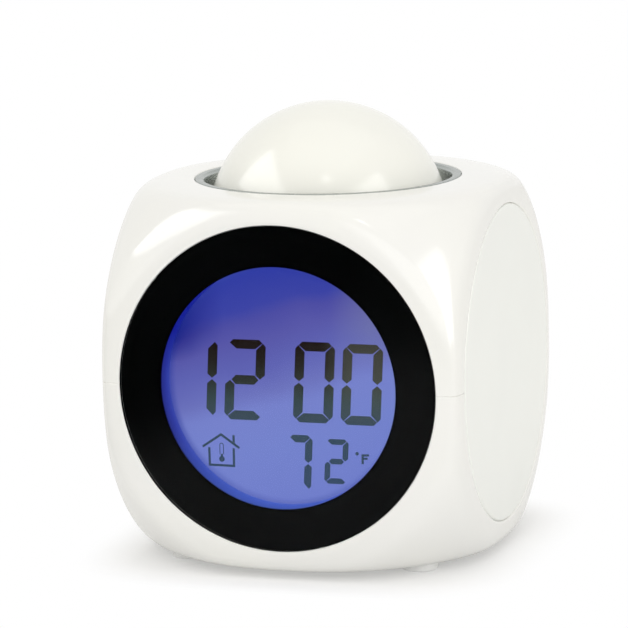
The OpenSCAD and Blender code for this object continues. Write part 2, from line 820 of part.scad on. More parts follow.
module talk_dome() {
    color(shell_white) lift() difference() {
        union() {
            intersection() {
                translate([0, 0, dome_z]) sphere(r = dome_r);
                z_rod(dome_r + cut, guide_top, dome_z + dome_r + cut);
            }
            z_rod(guide_r, dome_low, guide_top);
            for (side = [0, 1]) mirror([side, 0, 0])
                box([plate_r + dome_wall / 2, -catch_w / 2, dome_low],
                    [ring_in_r + sleeve_t + catch_reach, catch_w / 2, catch_top]);
        }
        translate([0, 0, dome_z]) sphere(r = dome_r - dome_wall);
        z_rod(plate_r + seat_gap, dome_low - cut, dome_low + plate_t);
    }
}

module dome_plate() {
    color([0.85, 0.85, 0.85]) lift() {
        z_rod(plate_r, dome_low, dome_low + plate_t);
        z_rod(stem_r, stem_low, dome_low + cut);
    }
}

module talk_spring() {
    color(steel) lift() translate([0, 0, talk_top])
        spring(talk_spring_r, dome_low - talk_top, talk_turns, talk_wire_r);
}

module talk_switch() {
    color([0.15, 0.15, 0.16]) lift() translate([0, 0, talk_top]) push_switch();
}

module talk_board() {
    board_x = talk_x + talk_post_r + talk_board_edge;
    board_half_y = talk_y + talk_post_r + talk_board_rim;
    color(board_green) lift() difference() {
        box([-board_x, -board_half_y, talk_top - board_t], [board_x, board_half_y, talk_top]);
        four(talk_x, talk_y) z_rod(screw_r + fit_gap, talk_top - board_t - cut, talk_top + cut);
    }
}

module talk_screws() {
    color(steel) lift() four(talk_x, talk_y) translate([0, 0, talk_top - board_t])
        screw(screw_r, board_t + screw_bite, head_r, head_h);
}

module talk_leads() {
    color([0.2, 0.35, 0.7]) lift() leads(talk_routes, [1, 0, 0]);
}

// Children made for the bay's +X end at +Y; way -1 turns them half round to the opposite corner
module at_corner(way) {
    rotate(way > 0 ? 0 : 180) children();
}

// Places a cell, or its spring, along the row; the middle one points the other way
module along_row() {
    for (row = [-1 : 1]) translate([0, row * cell_pitch, cell_z]) rotate(row == 0 ? 180 : 0) children();
}

module battery_cells() {
    nub_r = 1.9;
    nub_len = 0.8;
    tip = bay_x - contact_t;
    color([0.15, 0.3, 0.32]) lift() along_row() {
        x_rod(cell_r, tip - cell_len, tip - nub_len);
        x_rod(nub_r, tip - nub_len - cut, tip);
    }
}

module battery_springs() {
    coil_r = 3;
    color(steel) lift() along_row() translate([-bay_x + contact_t, 0, 0]) rotate([0, 90, 0])
        spring(coil_r, bat_spring_len, bat_turns, bat_wire_r);
}

module battery_contacts() {
    plate_h = 4;
    plate_w = 4.5;
    inner = bay_x - contact_t;
    color(steel) lift() for (way = [-1, 1]) at_corner(way) {
        box([inner, cell_pitch - plate_w, cell_z - plate_h], [bay_x, cell_pitch + plate_w, cell_z + plate_h]);
        box([inner, cell_pitch - tab_w / 2, cell_z], [bay_x, cell_pitch + tab_w / 2, tab_top]);
        box([inner, -cell_pitch - plate_w, cell_z - plate_h], [bay_x, plate_w, cell_z + plate_h]);
    }
}

module battery_leads() {
    color([0.75, 0.12, 0.1]) lift() leads(battery_routes, [1, 0, 0]);
}

module battery_door() {
    plate_y = door_y - door_gap;
    tongue_low = -half + wall + stop_gap;
    root_y = bay_y - tongue_root;
    color(shell_white) lift() difference() {
        union() {
            box([-door_x + door_gap, -plate_y, -half], [door_x - door_gap, plate_y, -half + wall - seat_gap]);
            for (x = [-tongue_x, tongue_x]) {
                box([x - tongue_w / 2, root_y, -half + wall / 2],
                    [x + tongue_w / 2, bay_y - door_gap, tongue_low + tongue_t]);
                box([x - tongue_w / 2, root_y, tongue_low],
                    [x + tongue_w / 2, door_y + tongue_reach, tongue_low + tongue_t]);
            }
        }
        translate([0, -plate_y + scoop_in, -half - scoop_r + wall / 2]) x_rod(scoop_r, -scoop_r, scoop_r);
    }
}

module rubber_feet() {
    color([0.7, 0.7, 0.69]) lift() four(boss_x, boss_y) z_rod(foot_r, -half - foot_proud, -half + foot_sink);
}

module case_screws() {
    color(steel) lift() four(boss_x, boss_y) translate([0, 0, -case_screw_drop])
        screw(case_screw_r, case_screw_drop + case_screw_bite, case_head_r, case_head_h);
}

upper_shell();
lower_shell();
front_window();
bezel_mask();
lcd_frame();
lcd_panel();
light_guide();
backlight_leds();
zebra_strip();
main_board();
board_components();
lcd_screws();
board_screws();
side_disc_left();
side_disc_right();
rear_panel();
rear_screws();
time_button();
alarm_button();
up_button();
down_button();
unit_button();
button_board();
button_switches();
button_board_screws();
button_leads();
speaker_basket();
speaker_cone();
speaker_magnet();
speaker_leads();
trim_ring();
talk_dome();
dome_plate();
talk_spring();
talk_switch();
talk_board();
talk_screws();
talk_leads();
battery_cells();
battery_springs();
battery_contacts();
battery_leads();
battery_door();
rubber_feet();
case_screws();
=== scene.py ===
"""Talking alarm clock, dressed: gloss shells, lit display behind a black-bordered window, silver ring, push dome."""
import math
import bmesh
import bpy
from mathutils import Matrix, Vector


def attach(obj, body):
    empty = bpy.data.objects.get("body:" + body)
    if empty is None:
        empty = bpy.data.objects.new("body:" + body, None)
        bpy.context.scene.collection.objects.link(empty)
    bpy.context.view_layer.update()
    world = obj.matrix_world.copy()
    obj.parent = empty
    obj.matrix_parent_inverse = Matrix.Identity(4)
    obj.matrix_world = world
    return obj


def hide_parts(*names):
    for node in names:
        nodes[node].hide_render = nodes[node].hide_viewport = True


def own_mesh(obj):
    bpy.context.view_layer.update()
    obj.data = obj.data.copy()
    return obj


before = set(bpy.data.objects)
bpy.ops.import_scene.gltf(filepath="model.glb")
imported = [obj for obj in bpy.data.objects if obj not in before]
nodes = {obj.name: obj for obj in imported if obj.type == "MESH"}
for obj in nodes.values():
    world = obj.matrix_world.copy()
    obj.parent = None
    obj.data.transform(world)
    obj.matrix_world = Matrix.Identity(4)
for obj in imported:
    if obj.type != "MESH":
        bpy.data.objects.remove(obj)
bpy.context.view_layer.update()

# Sizes in millimetres, measured from the middle of the cube-shaped case, as in the part's source
MM = 0.001
MID_Z = 41.2  # height of that middle above the table
HALF = 40.0
FIT_GAP, SIDE_GAP, BUTTON_GAP = 0.1, 0.04, 0.08
WINDOW_R, WINDOW_FRONT, WINDOW_BACK = 34.9, -39.97, -38.56
SIDE_R, SIDE_BACK = 34.46, 38.04
REAR_R, PANEL_Y = 34.4, 38.6
RING_R, RING_IN_R, BAND_LOW, SLEEVE_R, SLEEVE_LOW = 29.0, 27.0, 38.8, 28.0, 24.0
DOME_R, DOME_Z, DOME_IN_R = 26.2, 30.0, 24.2
GUIDE_R, GUIDE_TOP, DOME_LOW, PLATE_SEAT_R, PLATE_SEAT_TOP = 26.9, 28.0, 22.5, 24.95, 24.5
CATCH_IN, CATCH_OUT, CATCH_HALF_W, CATCH_TOP, CATCH_BEVEL = 25.9, 28.6, 4.5, 23.9, 0.2
LCD_FRONT, WALL_FRONT, DISPLAY_R = -32.6, -38.1, 26.0
BUTTON_R, BUTTON_PITCH, BUTTON_Z, BUTTON_FACE = 3.0, 9.0, 14.0, 39.9
BUTTON_FOOT, BUTTON_RIM_R, BUTTON_RIM_TOP, BUTTON_STEM_R, BUTTON_STEM_END = 35.2, 3.9, 36.4, 1.5, 34.0
GRILLE_R, GRILLE_PITCH, GRILLE_RINGS, SPEAKER_LOW = 0.9, 4.0, 3, 10.0
SCREW_AT, SCREW_SEAT, SCREW_HEAD_R, SCREW_R = 22.84, 37.4, 1.7, 0.9
FOOT_X, FOOT_Y, FOOT_R, FOOT_TOP, FOOT_LOW = 26.0, 22.6, 4.0, -39.0, -41.2

# The case's skin: flat faces and a corner sphere that run into each other
SKIN_HALF, SKIN_CORNER_R, SKIN_BLEND = 39.98, 56.75, 38.0
HALVINGS = 40

# Fineness: steps round a turn, steps of a small rounding, the angle above which an edge stays sharp
FINE, COARSE, ARC_STEPS = 200, 48, 6
SHARP_ANGLE = math.radians(32)
ON_AXIS = 1e-6
MERGE, CAD_MERGE = 1e-7, 2e-7  # metres within which doubled points are one


def place(point):
    """Case millimetres to metres above the table."""
    return Vector((point[0] * MM, point[1] * MM, (point[2] + MID_Z) * MM))


def four(across, up):
    """The four points at plus and minus two distances."""
    return [(sx * across, sy * up) for sx in (-1, 1) for sy in (-1, 1)]


def skin_radius(direction):
    """Distance from the case's middle to its skin along a unit direction."""
    total = sum((abs(c) / SKIN_HALF) ** SKIN_BLEND for c in direction)
    return (total + (1 / SKIN_CORNER_R) ** SKIN_BLEND) ** (-1 / SKIN_BLEND)


def skin_height(across):
    """Height of a face's skin above the case's middle, at a distance from the face's centre."""
    low, high = 0.9 * SKIN_HALF, SKIN_HALF
    for _ in range(HALVINGS):
        middle = (low + high) / 2
        point = Vector((across, 0, middle))
        if point.length < skin_radius(point.normalized()):
            low = middle
        else:
            high = middle
    return low


# Making pieces


def link(name, mesh):
    piece = bpy.data.objects.new(name, mesh)
    bpy.context.scene.collection.objects.link(piece)
    return piece


def paint(mesh, finish):
    mesh.materials.clear()
    mesh.materials.append(finish)


def add_piece(name, mesh, finish, body, slot, *replaced):
    """A mesh as a piece of the object, with its finish, body and the nodes that it stands for, which are hidden; the
    slot is not used.
    """
    mesh.name = name
    piece = link(name, mesh)
    paint(mesh, finish)
    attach(piece, body)
    if replaced:
        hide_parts(*replaced)
    return piece


def plain_mesh(points, edges=(), faces=()):
    """A mesh of case millimetres, as given."""
    mesh = bpy.data.meshes.new("plain")
    mesh.from_pydata([place(p) for p in points], edges, faces)
    return mesh


def worked(meshes, *steps):
    """One mesh of several, which keep their own shading, after steps of editing."""
    bm = bmesh.new()
    for mesh in meshes:
        bm.from_mesh(mesh)
    for step in steps:
        step(bm)
    result = bpy.data.meshes.new("worked")
    bm.to_mesh(result)
    bm.free()
    return result


def join(*meshes):
    return worked(meshes)


def merged_copy(node):
    """A CAD node's mesh with its loose triangles joined up."""
    return worked([nodes[node].data], lambda bm: bmesh.ops.remove_doubles(bm, verts=bm.verts, dist=CAD_MERGE))


def mesh_from(points, faces):
    """A closed mesh of case millimetres, with doubles merged and faces turned outwards."""
    return worked([plain_mesh(points, faces=faces)],
                  lambda bm: bmesh.ops.remove_doubles(bm, verts=bm.verts, dist=MERGE),
                  lambda bm: bmesh.ops.recalc_face_normals(bm, faces=bm.faces))


def soften(mesh):
    mesh.shade_smooth()
    mesh.set_sharp_from_angle(angle=SHARP_ANGLE)
    return mesh


def rounded(corners):
    """An outline of (radius, along, rounding) corners, with each rounding as a short arc."""
    outline = []
    for i, (radius, along, rounding) in enumerate(corners):
        corner = Vector((radius, along))
        if rounding == 0:
            outline.append(corner)
            continue
        u = (Vector(corners[i - 1][:2]) - corner).normalized()
        v = (Vector(corners[(i + 1) % len(corners)][:2]) - corner).normalized()
        half_angle = u.angle(v) / 2
        centre = corner + (u + v).normalized() * (rounding / math.sin(half_angle))
        start, end = (corner + side * (rounding / math.tan(half_angle)) - centre for side in (u, v))
        for k in range(ARC_STEPS + 1):
            outline.append(centre + start.lerp(end, k / ARC_STEPS).normalized() * rounding)
    return outline


def turned(outline, axis, centre=(0, 0, 0), steps=FINE):
    """An outline of (radius, along) turned round an axis; it is a loop unless it ends on the axis."""
    order = {"x": (2, 0, 1), "y": (0, 2, 1), "z": (0, 1, 2)}[axis]
    points, faces, rows = [], [], []
    for radius, along in map(Vector, outline):
        row = []
        for k in range(steps if radius > ON_AXIS else 1):
            turn = 2 * math.pi * k / steps
            local = (radius * math.cos(turn), radius * math.sin(turn), along)
            row.append(len(points))
            points.append([local[order[i]] + centre[i] for i in range(3)])
        rows.append(row)
    loop = outline[0][0] > ON_AXIS or outline[-1][0] > ON_AXIS
    pairs = list(zip(rows, rows[1:])) + ([(rows[-1], rows[0])] if loop else [])
    for a, b in pairs:
        for k in range(steps):
            n = (k + 1) % steps
            face = list(dict.fromkeys([a[k % len(a)], a[n % len(a)], b[n % len(b)], b[k % len(b)]]))
            if len(face) > 2:
                faces.append(face)
    return mesh_from(points, faces)


def turned_smooth(corners, axis, centre=(0, 0, 0), steps=FINE):
    return soften(turned(rounded(corners), axis, centre, steps))


def slab(outline, y_front, y_back):
    """An outline of (x, z) points as a thin plate that faces the front."""
    count = len(outline)
    points = [(x, y, z) for y in (y_front, y_back) for x, z in outline]
    faces = [list(range(count)), list(range(2 * count - 1, count - 1, -1))]
    faces += [[k, (k + 1) % count, (k + 1) % count + count, k + count] for k in range(count)]
    return mesh_from(points, faces)


def box_mesh(low, high, bevel):
    points = [[(low, high)[k >> i & 1][i] for i in range(3)] for k in range(8)]
    faces = [(0, 1, 3, 2), (4, 6, 7, 5), (0, 4, 5, 1), (2, 3, 7, 6), (0, 2, 6, 4), (1, 5, 7, 3)]
    return soften(worked([mesh_from(points, faces)], lambda bm: bmesh.ops.bevel(
        bm, geom=bm.edges[:], offset=bevel * MM, segments=3, profile=0.5, affect="EDGES")))


def evaluated_mesh(piece):
    """The plain mesh that an object's modifiers make."""
    return bpy.data.meshes.new_from_object(piece.evaluated_get(bpy.context.evaluated_depsgraph_get()))


def carved(mesh, *steps):
    """The mesh after (operation, mesh) steps of cutting."""
    helpers = [link("carved", mesh)]
    for operation, tool in steps:
        helpers.append(link("tool", tool))
        cut = helpers[0].modifiers.new("cut", "BOOLEAN")
        cut.operation, cut.solver, cut.object = operation, "MANIFOLD", helpers[-1]
    result = evaluated_mesh(helpers[0])
    for helper in helpers:
        bpy.data.objects.remove(helper)
    return soften(result)


# Node trees


def new_group(name, kind, inputs, outputs):
    """A node group, the sockets that it is given, and the node that takes its results."""
    group = bpy.data.node_groups.new(name, kind)
    for way, sockets in (("INPUT", inputs), ("OUTPUT", outputs)):
        for label, socket in sockets.items():
            group.interface.new_socket(label, in_out=way, socket_type="NodeSocket" + socket)
    return group, group.nodes.new("NodeGroupInput").outputs, group.nodes.new("NodeGroupOutput")


def set_inputs(node, values):
    """Gives a node's inputs their values, colours or links."""
    for label, value in values.items():
        socket = node.inputs[label]
        if isinstance(value, bpy.types.NodeSocket):
            node.id_data.links.new(value, socket)
        elif isinstance(value, tuple) and len(value) < len(socket.default_value):
            socket.default_value = (*value, 1)
        else:
            socket.default_value = value


def add_node(tree, kind, inputs=None, **settings):
    """The outputs of a new node."""
    node = tree.nodes.new(kind)
    for label, value in settings.items():
        setattr(node, label, value)
    set_inputs(node, inputs or {})
    return node.outputs


def math_node(operation, *values):
    """The result for values of which the first is a socket."""
    return add_node(values[0].id_data, "ShaderNodeMath", dict(enumerate(values)), operation=operation)[0]


def times(first, second):
    return math_node("MULTIPLY", first, second)


def larger(first, second):
    return math_node("MAXIMUM", first, second)


# Geometry Nodes trees: a shape on every point, a wound wire, a tube along a line


def geometry_tree(name, inputs):
    return new_group(name, "GeometryNodeTree", {"Geometry": "Geometry", **inputs, "Finish": "Material"},
                     {"Geometry": "Geometry"})


def painted(tree, given, result, geometry):
    """Ends a tree with plain geometry in the given finish."""
    real = add_node(tree, "GeometryNodeRealizeInstances", {"Geometry": geometry})
    coat = add_node(tree, "GeometryNodeSetMaterial", {"Geometry": real[0], "Material": given["Finish"]})
    set_inputs(result, {"Geometry": coat[0]})
    return tree


def swept(tree, given, result, curve, radius, sides):
    """Ends a tree with a round wire along a curve."""
    ring = add_node(tree, "GeometryNodeCurvePrimitiveCircle", {"Resolution": sides, "Radius": radius})
    tube = add_node(tree, "GeometryNodeCurveToMesh", {
        "Curve": curve, "Profile Curve": ring["Curve"], "Fill Caps": True})
    smooth = add_node(tree, "GeometryNodeSetShadeSmooth", {"Geometry": tube["Mesh"]})
    return painted(tree, given, result, smooth["Geometry"])


def repeat_tree():
    """Sets a shape on every point, each turned one step further round an axis."""
    tree, given, result = geometry_tree("shape_on_points", {"Shape": "Object", "Turn": "Float", "Axis": "Vector"})
    shape = add_node(tree, "GeometryNodeObjectInfo", {"Object": given["Shape"]})
    index = add_node(tree, "GeometryNodeInputIndex")["Index"]
    spin = add_node(tree, "ShaderNodeVectorMath", {
        0: given["Axis"], "Scale": times(index, given["Turn"])}, operation="SCALE")
    copies = add_node(tree, "GeometryNodeInstanceOnPoints", {
        "Points": given["Geometry"], "Instance": shape["Geometry"], "Rotation": spin["Vector"]})
    return painted(tree, given, result, copies["Instances"])


def coil_tree():
    """A wire wound upwards from the origin."""
    tree, given, result = geometry_tree("wound_wire", {
        "Turns": "Float", "Radius": "Float", "Length": "Float", "Wire radius": "Float"})
    spiral = add_node(tree, "GeometryNodeCurveSpiral", {
        "Resolution": 40, "Rotations": given["Turns"], "Start Radius": given["Radius"], "End Radius": given["Radius"],
        "Height": given["Length"]})
    return swept(tree, given, result, spiral["Curve"], given["Wire radius"], 14)


def tube_tree():
    """A round tube along the edges of a line."""
    tree, given, result = geometry_tree("tube_on_line", {"Radius": "Float"})
    line = add_node(tree, "GeometryNodeMeshToCurve", {"Mesh": given["Geometry"]})
    return swept(tree, given, result, line["Curve"], given["Radius"], 12)


REPEAT, COIL, TUBE = repeat_tree(), coil_tree(), tube_tree()


def grown(tree, base, values):
    """The plain mesh that a tree makes from a base mesh and named values."""
    holder = link("holder", base)
    modifier = holder.modifiers.new("grow", "NODES")
    modifier.node_group = tree
    for item in tree.interface.items_tree:
        if item.item_type == "SOCKET" and item.in_out == "INPUT" and item.name in values:
            modifier[item.identifier] = values[item.name]
    mesh = evaluated_mesh(holder)
    bpy.data.objects.remove(holder)
    return mesh


def repeated(shape, points, finish, turn=0.0):
    """Copies of a shape, which is built round the case's middle, on points of the case; each turns further round y."""
    shape.transform(Matrix.Translation(-place((0, 0, 0))))
    template = link("template", shape)
    mesh = grown(REPEAT, plain_mesh(points), {
        "Shape": template, "Turn": turn, "Axis": (0, 1, 0), "Finish": finish})
    bpy.data.objects.remove(template)
    return mesh


# Finishes


def spot(tree):
    """Socket of the surface point."""
    return add_node(tree, "ShaderNodeTexCoord")["Object"]


def spot_axes(tree):
    """Sockets of the surface point's x, y and z in metres."""
    return add_node(tree, "ShaderNodeSeparateXYZ", {0: spot(tree)})


def noise(tree, scale, detail, roughness=0.5, distortion=0.0, vector=None):
    return add_node(tree, "ShaderNodeTexNoise", {
        "Vector": vector or spot(tree), "Scale": scale, "Detail": detail, "Roughness": roughness,
        "Distortion": distortion})["Fac"]


def ranged(value, low, high, to_low=0, to_high=1, smooth=False):
    """A value between two limits, carried over to two others."""
    return add_node(value.id_data, "ShaderNodeMapRange", {
        "Value": value, "From Min": low, "From Max": high, "To Min": to_low, "To Max": to_high},
        interpolation_type="SMOOTHSTEP" if smooth else "LINEAR")[0]


def mix_colours(factor, first, second):
    return add_node(factor.id_data, "ShaderNodeMix", {0: factor, 6: first, 7: second}, data_type="RGBA")[2]


def mix_shaders(factor, first, second):
    return add_node(factor.id_data, "ShaderNodeMixShader", {0: factor, 1: first, 2: second})[0]


def ramp(factor, *stops):
    colours = add_node(factor.id_data, "ShaderNodeValToRGB", {"Fac": factor})["Color"]
    elements = colours.node.color_ramp.elements
    elements.remove(elements[-1])
    elements[0].position, elements[0].color = stops[0][0], (*stops[0][1], 1)
    for position, colour in stops[1:]:
        elements.new(position).color = (*colour, 1)
    return colours


def bump(height, strength, distance=0.0001):
    return add_node(height.id_data, "ShaderNodeBump", {
        "Height": height, "Strength": strength, "Distance": distance})["Normal"]


TINTS_AND_GLOSS = {"Tint A": "Color", "Tint B": "Color", "Gloss low": "Float", "Gloss high": "Float"}
SKIN_RESULTS = {"Color": "Color", "Roughness": "Float", "Height": "Float"}


def moulded_group():
    """Moulded plastic: soft clouds between two tints, smudges in the gloss, and a fine skin."""
    group, given, result = new_group("moulded_skin", "ShaderNodeTree", {
        **TINTS_AND_GLOSS, "Cloud scale": "Float", "Skin scale": "Float"}, SKIN_RESULTS)
    clouds = ranged(noise(group, given["Cloud scale"], 3), 0.35, 0.65)
    smudges = noise(group, 55, 5, 0.62, 1.2)
    set_inputs(result, {
        "Color": mix_colours(clouds, given["Tint A"], given["Tint B"]),
        "Roughness": ranged(smudges, 0.38, 0.7, given["Gloss low"], given["Gloss high"]),
        "Height": noise(group, given["Skin scale"], 2)})
    return group


def drawn_group():
    """Metal drawn along one direction: fine streaks in colour, gloss and height."""
    group, given, result = new_group("drawn_metal", "ShaderNodeTree", {
        **TINTS_AND_GLOSS, "Stretch": "Vector"}, SKIN_RESULTS)
    along = add_node(group, "ShaderNodeVectorMath", {0: spot(group), 1: given["Stretch"]}, operation="MULTIPLY")
    streaks = noise(group, 1, 3, 0.6, vector=along[0])
    set_inputs(result, {
        "Color": mix_colours(ranged(streaks, 0.3, 0.7), given["Tint A"], given["Tint B"]),
        "Roughness": ranged(streaks, 0.3, 0.7, given["Gloss low"], given["Gloss high"]),
        "Height": streaks})
    return group


MOULDED, DRAWN = moulded_group(), drawn_group()


def new_finish(name):
    finish = bpy.data.materials.new(name)
    finish.use_nodes = True
    return finish, finish.node_tree


def shaded(finish, values):
    """The finish, with values for its shader."""
    set_inputs(finish.node_tree.nodes["Principled BSDF"], values)
    return finish


def grouped(name, group, tints, gloss, relief, group_values, shader_values):
    """A finish whose colour, gloss and relief come from a group."""
    finish, tree = new_finish(name)
    skin = add_node(tree, "ShaderNodeGroup", {
        "Tint A": tints[0], "Tint B": tints[1], "Gloss low": gloss[0], "Gloss high": gloss[1], **group_values},
        node_tree=group)
    return shaded(finish, {
        "Base Color": skin["Color"], "Roughness": skin["Roughness"], "Normal": bump(skin["Height"], relief),
        **shader_values})


def plastic(name, tint_a, tint_b, gloss, clouds=30, skin=900, relief=0.04, specular=0.5):
    return grouped(name, MOULDED, (tint_a, tint_b), gloss, relief, {"Cloud scale": clouds, "Skin scale": skin},
                   {"Specular IOR Level": specular})


def metal(name, tint_a, tint_b, gloss, stretch, relief=0.05):
    return grouped(name, DRAWN, (tint_a, tint_b), gloss, relief, {"Stretch": stretch}, {"Metallic": 1})


def ring_finish():
    """Drawn silver, with painted shade that darkens the ring's top face well below the tone of its sleeve."""
    finish = metal("ring_silver", (0.62, 0.645, 0.635), (0.58, 0.61, 0.6), (0.24, 0.3), (140, 140, 1500), 0.008)
    tree, top = finish.node_tree, MID_Z + HALF
    silver = tree.nodes["Principled BSDF"].inputs["Base Color"].links[0].from_socket
    # painted shade: the top face is mixed towards dark grey
    face = ranged(spot_axes(tree)["Z"], (top - 0.9) * MM, (top - 0.1) * MM, 0, 0.9)
    return shaded(finish, {"Base Color": mix_colours(face, silver, (0.26, 0.285, 0.265))})


# Finishes of the lit display

# The pale haze, then the dark blues of the painted shade along the display's rim and in its upper left corner
HAZE, RIM_SHADE_BLUE, CORNER_SHADE_BLUE = (0.38, 0.42, 0.35), (0.035, 0.055, 0.35), (0.0, 0.005, 0.2)


def display_height(tree, slope=0.0):
    """0 at the bottom of the display opening, 1 at its top, with levels that climb to the right by a slope."""
    x, _, z = spot_axes(tree)
    level = math_node("ADD", z, times(x, -slope))
    return ranged(level, (MID_Z - DISPLAY_R) * MM, (MID_Z + DISPLAY_R) * MM)


def display_radius(tree):
    """Distance in metres from the axis of the display opening."""
    x, _, z = spot_axes(tree)
    rise = math_node("SUBTRACT", z, MID_Z * MM)
    square = math_node("ADD", times(x, x), times(rise, rise))
    return math_node("SQRT", square)


def hazed(colour, level, across, up, share):
    """A colour with a share of pale haze towards the right, over a span of x, and upwards, over a span of levels."""
    right = ranged(spot_axes(level.id_data)["X"], across[0] * MM, across[1] * MM)
    upper = ranged(level, up[0], up[1], 0, share)
    return mix_colours(times(right, upper), colour, HAZE)


def lit(finish, glow, base, roughness, specular=0):
    return shaded(finish, {
        "Emission Color": glow, "Emission Strength": 1, "Base Color": base, "Roughness": roughness,
        "Specular IOR Level": specular})


def display_finish():
    """The lit liquid-crystal panel: deep blue at the top, paler and clearer below, with painted shade along the rim of
    its opening and in its upper left corner.
    """
    finish, tree = new_finish("display_blue")
    wobble = math_node("MULTIPLY_ADD", noise(tree, 45, 2), 0.16, -0.08)
    level = math_node("ADD", display_height(tree, 0.28), wobble)
    glow = ramp(level, (0.0, (0.155, 0.2, 0.57)), (0.25, (0.165, 0.215, 0.58)), (0.43, (0.17, 0.21, 0.57)),
                (0.5, (0.142, 0.162, 0.485)), (0.61, (0.106, 0.116, 0.425)), (0.72, (0.09, 0.088, 0.37)),
                (0.79, (0.066, 0.066, 0.345)), (0.84, (0.038, 0.05, 0.35)), (0.96, (0.028, 0.043, 0.35)))
    glow = hazed(glow, level, (10, 19), (0.45, 0.65), 0.16)
    # painted shade: a dark blue band along the rim of the opening, weaker at the bottom
    rim = ranged(display_radius(tree), (DISPLAY_R - 1.6) * MM, (DISPLAY_R + 0.2) * MM, 0, 0.75, smooth=True)
    deep = ranged(display_height(tree), 0.0, 0.4, 0.45, 1)
    glow = mix_colours(times(rim, deep), glow, RIM_SHADE_BLUE)
    # painted shade: the upper left corner darkened towards deep blue
    left = ranged(spot_axes(tree)["X"], -13.7 * MM, -25.3 * MM, 0, 0.9)
    corner = times(left, ranged(level, 0.7, 0.8))
    return lit(finish, mix_colours(corner, glow, CORNER_SHADE_BLUE), (0.01, 0.01, 0.02), 0.35)


def segment_finish():
    """Dark liquid crystal: brown-black at the top, slate where the light shows through below."""
    finish, tree = new_finish("segment_ink")
    level = display_height(tree)
    ink = ramp(level, (0.1, (0.036, 0.066, 0.122)), (0.3, (0.037, 0.068, 0.1)), (0.36, (0.04, 0.065, 0.088)),
               (0.43, (0.033, 0.056, 0.06)), (0.5, (0.026, 0.032, 0.028)), (0.58, (0.014, 0.012, 0.009)),
               (0.68, (0.009, 0.004, 0.002)))
    return lit(finish, hazed(ink, level, (8, 14), (0.33, 0.55), 0.1), (0.004, 0.004, 0.005), 0.5)


def frame_finish():
    """White display frame whose round inner wall is given a dark blue base and a painted glow of the display's blue
    light, paler at the bottom, with painted shade towards its front edge and its top.
    """
    finish, tree = new_finish("frame_white")
    inside = math_node("LESS_THAN", display_radius(tree), (DISPLAY_R + 0.25) * MM)
    depth = ranged(spot_axes(tree)["Y"], WALL_FRONT * MM, LCD_FRONT * MM)
    # painted glow of the display's light: dark at the wall's front edge, bluer deeper in
    light = ramp(depth, (0.0, (0.004, 0.006, 0.12)), (0.6, (0.014, 0.024, 0.24)), (1.0, (0.03, 0.048, 0.29)))
    level = display_height(tree)
    # painted glow paler at the bottom of the wall, painted shade at its top
    light = mix_colours(ranged(level, 0.0, 0.3, 0.25, 0), light, (0.1, 0.24, 0.8))
    light = mix_colours(ranged(level, 0.52, 0.7, 0, 0.95), light, (0.0, 0.003, 0.2))
    # painted shade: inside the wall the base colour is dark blue instead of the frame's white
    return lit(finish, mix_colours(inside, (0.0, 0.0, 0.0), light),
               mix_colours(inside, (0.8, 0.8, 0.82), (0.015, 0.02, 0.1)), 0.45, 0.1)


def window_finish():
    """Clear window with a faint reflection."""
    finish, tree = new_finish("window_clear")
    return shaded(finish, {
        "Base Color": (0.98, 0.99, 1), "Roughness": ranged(noise(tree, 60, 4), 0.4, 0.8, 0.0, 0.03),
        "Transmission Weight": 1, "IOR": 1.12})


# Finishes inside


def board_finish():
    """Green circuit board with copper tracks under the lacquer and tinned dots."""
    finish, tree = new_finish("board_green")
    tracks = add_node(tree, "ShaderNodeTexVoronoi", {"Vector": spot(tree), "Scale": 260}, feature="DISTANCE_TO_EDGE")
    line = ranged(tracks["Distance"], 0.05, 0.09, 1, 0)
    green = mix_colours(line, (0.012, 0.13, 0.05), (0.05, 0.28, 0.1))
    dots = add_node(tree, "ShaderNodeTexVoronoi", {"Vector": spot(tree), "Scale": 190})
    pad = ranged(dots["Distance"], 0.16, 0.2, 1, 0)
    return shaded(finish, {
        "Base Color": mix_colours(pad, green, (0.6, 0.58, 0.52)), "Metallic": pad, "Roughness": 0.35,
        "Normal": bump(line, 0.2, 0.00005)})


def cell_finish():
    """Battery jackets: dark in the middle, copper-coloured towards the ends, which are bare metal."""
    finish, tree = new_finish("cell_jacket")
    reach = math_node("ABSOLUTE", spot_axes(tree)["X"])
    band = ranged(reach, 10 * MM, 10.3 * MM)
    end = ranged(reach, 24.1 * MM, 24.3 * MM)
    jacket = mix_colours(band, (0.012, 0.014, 0.018), (0.5, 0.2, 0.07))
    return shaded(finish, {
        "Base Color": mix_colours(end, jacket, (0.6, 0.6, 0.6)), "Metallic": end, "Roughness": 0.28})


SHELL_WHITE = plastic("shell_white", (0.87, 0.865, 0.82), (0.85, 0.845, 0.815), (0.1, 0.17), relief=0.015)
DOME_WHITE = plastic("dome_white", (0.87, 0.868, 0.8), (0.855, 0.853, 0.795), (0.16, 0.22), relief=0.012)
DISC_WHITE = plastic("disc_white", (0.875, 0.885, 0.84), (0.855, 0.865, 0.825), (0.32, 0.4), skin=1400, relief=0.03)
REAR_WHITE = plastic("rear_white", (0.82, 0.82, 0.79), (0.8, 0.8, 0.775), (0.38, 0.5), skin=2200, relief=0.22)
DOOR_WHITE = plastic("door_white", (0.84, 0.835, 0.8), (0.82, 0.815, 0.785), (0.3, 0.42), skin=2000, relief=0.16)
BUTTON_GREY = plastic("button_grey", (0.58, 0.6, 0.61), (0.54, 0.56, 0.575), (0.25, 0.36), skin=1600, relief=0.08)
MARK_GREY = plastic("mark_grey", (0.05, 0.055, 0.06), (0.07, 0.075, 0.08), (0.4, 0.5))
BORDER_BLACK = plastic("border_black", (0.0006, 0.0007, 0.0008), (0.001, 0.0011, 0.0013), (0.3, 0.45), specular=0.0)
